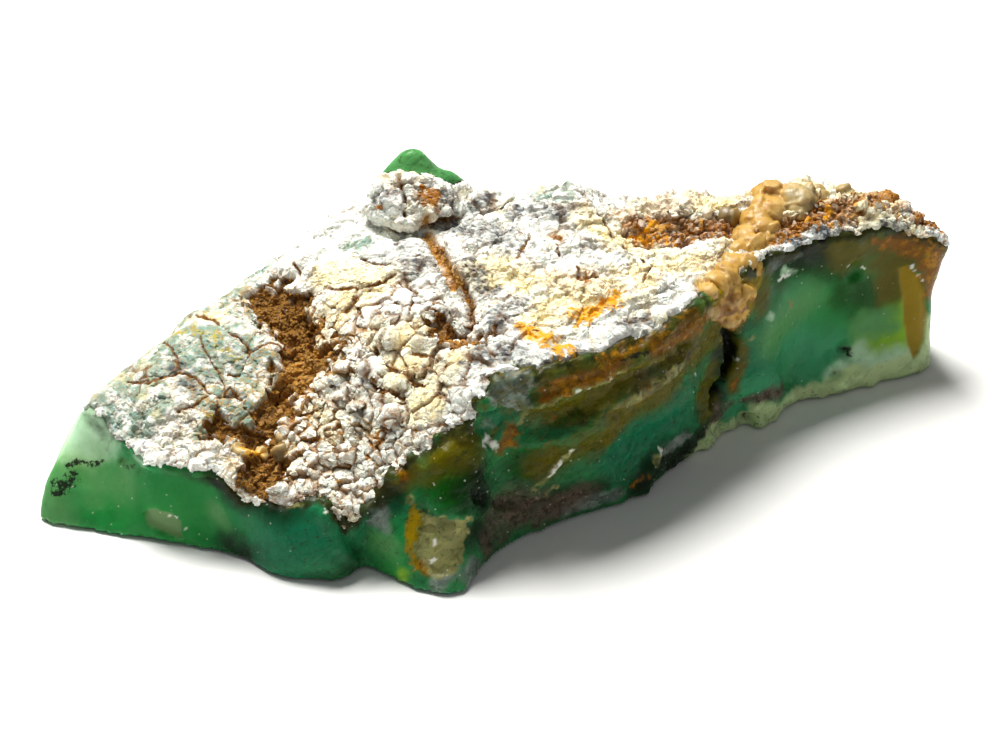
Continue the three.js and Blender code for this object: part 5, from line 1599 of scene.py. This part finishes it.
# %% Rind material
# The name of the mask, the colour, waves per mm and how far the border frays.
RIND_LAYERS = [
    ("green", colour(0.2, 0.33, 0.27), 1.8, 1.6), ("pink", colour(0.9, 0.74, 0.5), 1.4, 0.8),
    # The blue-grey tint is partly painted shade on the rind.
    ("cream", colour(1.0, 0.9, 0.55), 1.3, 0.9), ("grey_and_shade", colour(0.075, 0.088, 0.105), 2.6, 2.4),
    ("vein", colour(0.42, 0.36, 0.06), 2.0, 0.5), ("rust", colour(0.34, 0.12, 0.003), 2.2, 1.3),
    ("orange", colour(0.86, 0.4, 0.006), 2.2, 1.3), ("soil", colour(0.17, 0.066, 0.008), 2.4, 0.7),
]

rind_material, tree, vector, shader = new_material("pale_rind")
streaks = stretched(tree, vector, (2.6, 1.0, 1.0), (0.0, 0.0, -0.4))
grains = grain_mosaic(tree, vector, 1.2)
small_grains = grain_mosaic(tree, vector, 3.4)
brightness = times(tree, maths(tree, "ADD", mask(tree, "tone"), grains["Tone"]), 0.5)
tone = blend(tree, brightness, colour(0.9, 0.93, 0.86), colour(0.97, 1.0, 0.95))


def grain_tint(tone, part, name, strength, tint):
    """The tone with a tint on one part of each grain, where the mask of that name allows it."""
    share = times(tree, times(tree, part, mask(tree, name)), strength)
    return blend(tree, share, tone, tint)


tone = grain_tint(tone, grains["Heart"], "sugar", 0.85, colour(0.3, 0.37, 0.36))
tone = grain_tint(tone, small_grains["Heart"], "sugar", 0.3, colour(0.5, 0.5, 0.46))
for name, tint, per_mm, fray in RIND_LAYERS:
    if name == "soil":
        tone = grain_tint(tone, grains["Edge"], "dust", 0.75, colour(0.56, 0.32, 0.09))
        tone = grain_tint(tone, small_grains["Edge"], "dust", 0.35, colour(0.6, 0.4, 0.16))
        tint = blend(tree, mask(tree, "ochre"), tint, colour(0.44, 0.2, 0.03))
    coordinates = streaks if name == "grey_and_shade" else vector
    tone = cloudy_tint(tree, coordinates, tone, tint, mask(tree, name), per_mm, fray)
tone = blend(tree, speckle(tree, streaks, 2.2, 0.59, 0.65, 0.7), tone, colour(0.27, 0.28, 0.28))
tone = blend(tree, hairlines(tree, vector, 0.4), tone, colour(0.3, 0.17, 0.06))
tone = blend(tree, hairlines(tree, streaks, 0.9), tone, colour(0.34, 0.3, 0.24))
tone = blend(tree, speckle(tree, vector, 3.0, 0.62, 0.68, 0.7), tone, colour(0.28, 0.19, 0.08))
tree.links.new(tone, shader.inputs["Base Color"])
shader.inputs["Roughness"].default_value = 0.85
shader.inputs["Specular IOR Level"].default_value = 0.15
shader.inputs["Subsurface Weight"].default_value = 0.08
shader.inputs["Subsurface Scale"].default_value = 0.6 * MM
height = maths(tree, "ADD", times(tree, grains["Height"], 0.7), times(tree, small_grains["Height"], 0.6))
height = maths(tree, "ADD", height, fine_grit(tree, vector, 4, pits=0.4))
bump(tree, height, strength=0.65, distance=0.12, shader=shader)
for piece in [*rinds, rind_crumbs]:
    piece.data.materials.append(rind_material)
print("rind has", len(RIND_LAYERS), "tints")

# %% [markdown]
# ## Soil and honey
# The soil is ochre earth, light where it dried, dark where it packed. The honey lumps are
# the same waxy stone as the body, coloured by iron, with dark brown patches that grow
# towards their lower sides.

# %% Soil material
soil_material, tree, vector, shader = new_material("brown_soil")
tone = blend(tree, mask(tree, "tone"), colour(0.03, 0.011, 0.002), colour(0.34, 0.15, 0.02))
tone = tinted(tree, tone, "rust", 0.7, colour(0.26, 0.085, 0.004))
tone = tinted(tree, tone, "orange", 0.8, colour(0.75, 0.32, 0.01))
tone = tinted(tree, tone, "ochre", 1.0, colour(0.5, 0.28, 0.07))
tree.links.new(tone, shader.inputs["Base Color"])
shader.inputs["Roughness"].default_value = 0.95
shader.inputs["Specular IOR Level"].default_value = 0.1
bump(tree, fine_grit(tree, vector, 6, pits=0.5), strength=0.6, distance=0.06, shader=shader)
soil_crumbs.data.materials.append(soil_material)
print("soil has", len(tree.nodes), "nodes")

# %% Honey chalcedony material
honey, tree, vector, shader = new_material("honey_chalcedony")
tone = blend(tree, mask(tree, "iron"), colour(0.34, 0.27, 0.13), colour(0.48, 0.26, 0.04))
tone = blend(tree, speckle(tree, vector, 0.9, 0.42, 0.62, 0.5), tone, colour(0.68, 0.48, 0.19))
tone = tinted(tree, tone, "tone", 0.4, colour(0.32, 0.18, 0.02))
tone = tinted(tree, tone, "yellow", 0.75, colour(0.7, 0.38, 0.01))
tone = tinted(tree, tone, "dark", 0.9, colour(0.15, 0.095, 0.025))
tone = tinted(tree, tone, "ochre", 1.0, colour(0.6, 0.32, 0.01))
# Dark brown patches, more of them towards the lumps' lower sides.
tone = cloudy_tint(tree, vector, tone, colour(0.24, 0.1, 0.01), mask(tree, "soil"), 1.2, 1.0)
tree.links.new(tone, shader.inputs["Base Color"])
cloudy_gloss(tree, vector, 1.5, smooth=0.3, rough=0.6, shader=shader)
shader.inputs["Subsurface Weight"].default_value = 0.5
shader.inputs["Subsurface Radius"].default_value = (1.0, 0.6, 0.2)
shader.inputs["Subsurface Scale"].default_value = 1.2 * MM
bump(tree, fine_grit(tree, vector, 2.5, pits=0.3), strength=0.4, distance=0.1, shader=shader)
honey_lumps.data.materials.append(honey)
print("honey has", len(tree.nodes), "nodes")

# %% [markdown]
# ## Floor, light and camera
# A pale floor and soft light keep the eye on the stone. The main light is large and stands
# high and a little behind, so the top is bright and the front faces lie in soft shade, where
# their own colour shows. A weak one in front opens the shade. The camera looks down at the
# stone from 35 degrees, and from far enough away that near and far grains keep one scale.

# %% Floor
FLOOR_REACH = 2.0
FLOOR_GAP = 0.01

corners = [(x * FLOOR_REACH, y * FLOOR_REACH, 0) for x, y in ((-1, -1), (1, -1), (1, 1), (-1, 1))]
floor_mesh = bpy.data.meshes.new("floor")
floor_mesh.from_pydata(corners, [], [(0, 1, 2, 3)])
floor = bpy.data.objects.new("floor", floor_mesh)
floor.location.z = -FLOOR_GAP * MM
bpy.context.scene.collection.objects.link(floor)
paper, tree, vector, shader = new_material("pale_floor")
shader.inputs["Base Color"].default_value = colour(0.86, 0.86, 0.85)
shader.inputs["Roughness"].default_value = 0.7
floor_mesh.materials.append(paper)
print("the floor lies", FLOOR_GAP, "mm below the stone's plane")

# %% Lights
def turn_towards(way):
    """The turn that points a camera or a light, which look along -Z, along a way."""
    across = math.atan2(way[0], -way[1])
    down = math.atan2(math.hypot(way[0], way[1]), -way[2])
    return (down, 0, math.pi + across)


def soft_light(name, place, aim, size, watts, tint):
    """A square light that stands at place (mm) and shines at aim (mm)."""
    data = bpy.data.lights.new(name, "AREA")
    data.size = size * MM
    data.energy = watts
    data.color = tint
    lamp = bpy.data.objects.new(name, data)
    way = np.array(aim, float) - np.array(place, float)
    lamp.location = [c * MM for c in place]
    lamp.rotation_euler = turn_towards(way)
    bpy.context.scene.collection.objects.link(lamp)


# The name, place and aim in mm, size in mm, watts and colour.
LIGHTS = [
    ("window", (-110, 170, 430), (0, 0, 10), 230, 4.65, (1.0, 0.99, 0.95)),
    ("sky", (180, -260, 320), (0, 0, 8), 500, 0.16, (0.97, 0.99, 1.0)),
]
ROOM_LIGHT = 0.14

for light in LIGHTS:
    soft_light(*light)
world = bpy.data.worlds.new("room")
bpy.context.scene.world = world
world.use_nodes = True
background = world.node_tree.nodes["Background"]
background.inputs["Color"].default_value = colour(1, 1, 1)
background.inputs["Strength"].default_value = ROOM_LIGHT
bpy.context.scene.view_settings.view_transform = "Standard"
print(len(LIGHTS), "lights, of", [watts for *_, watts, _ in LIGHTS], "watts")

# %% Camera
ELEVATION = math.radians(35)
DISTANCE = 250.0
AIM = np.array([0, 0, 9.0]) - MIDDLE
way = np.array([0, math.cos(ELEVATION), -math.sin(ELEVATION)])
camera_data = bpy.data.cameras.new("camera")
camera_data.lens = 100
camera_data.sensor_width = 36
camera_data.clip_start = 0.01
camera = bpy.data.objects.new("camera", camera_data)
camera.location = (AIM - DISTANCE * way) * MM
camera.rotation_euler = turn_towards(way)
bpy.context.scene.collection.objects.link(camera)
bpy.context.scene.camera = camera
print("camera stands at", np.round(np.array(camera.location) / MM, 1), "mm")

# %% [markdown]
# ## The pieces on the stone
# Every piece is tied to the stone's only body and set in place of the plain solid. The two
# boxes are written down so that the sizes can be compared.

# %% Tie the pieces to the stone
FINISHES = {
    green_body: "green_chalcedony", **{piece: "pale_rind" for piece in [*rinds, rind_crumbs]},
    soil_crumbs: "brown_soil", honey_lumps: "honey_chalcedony",
}
for piece, finish in FINISHES.items():
    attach(piece, "root")
    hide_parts("chrysoprase")
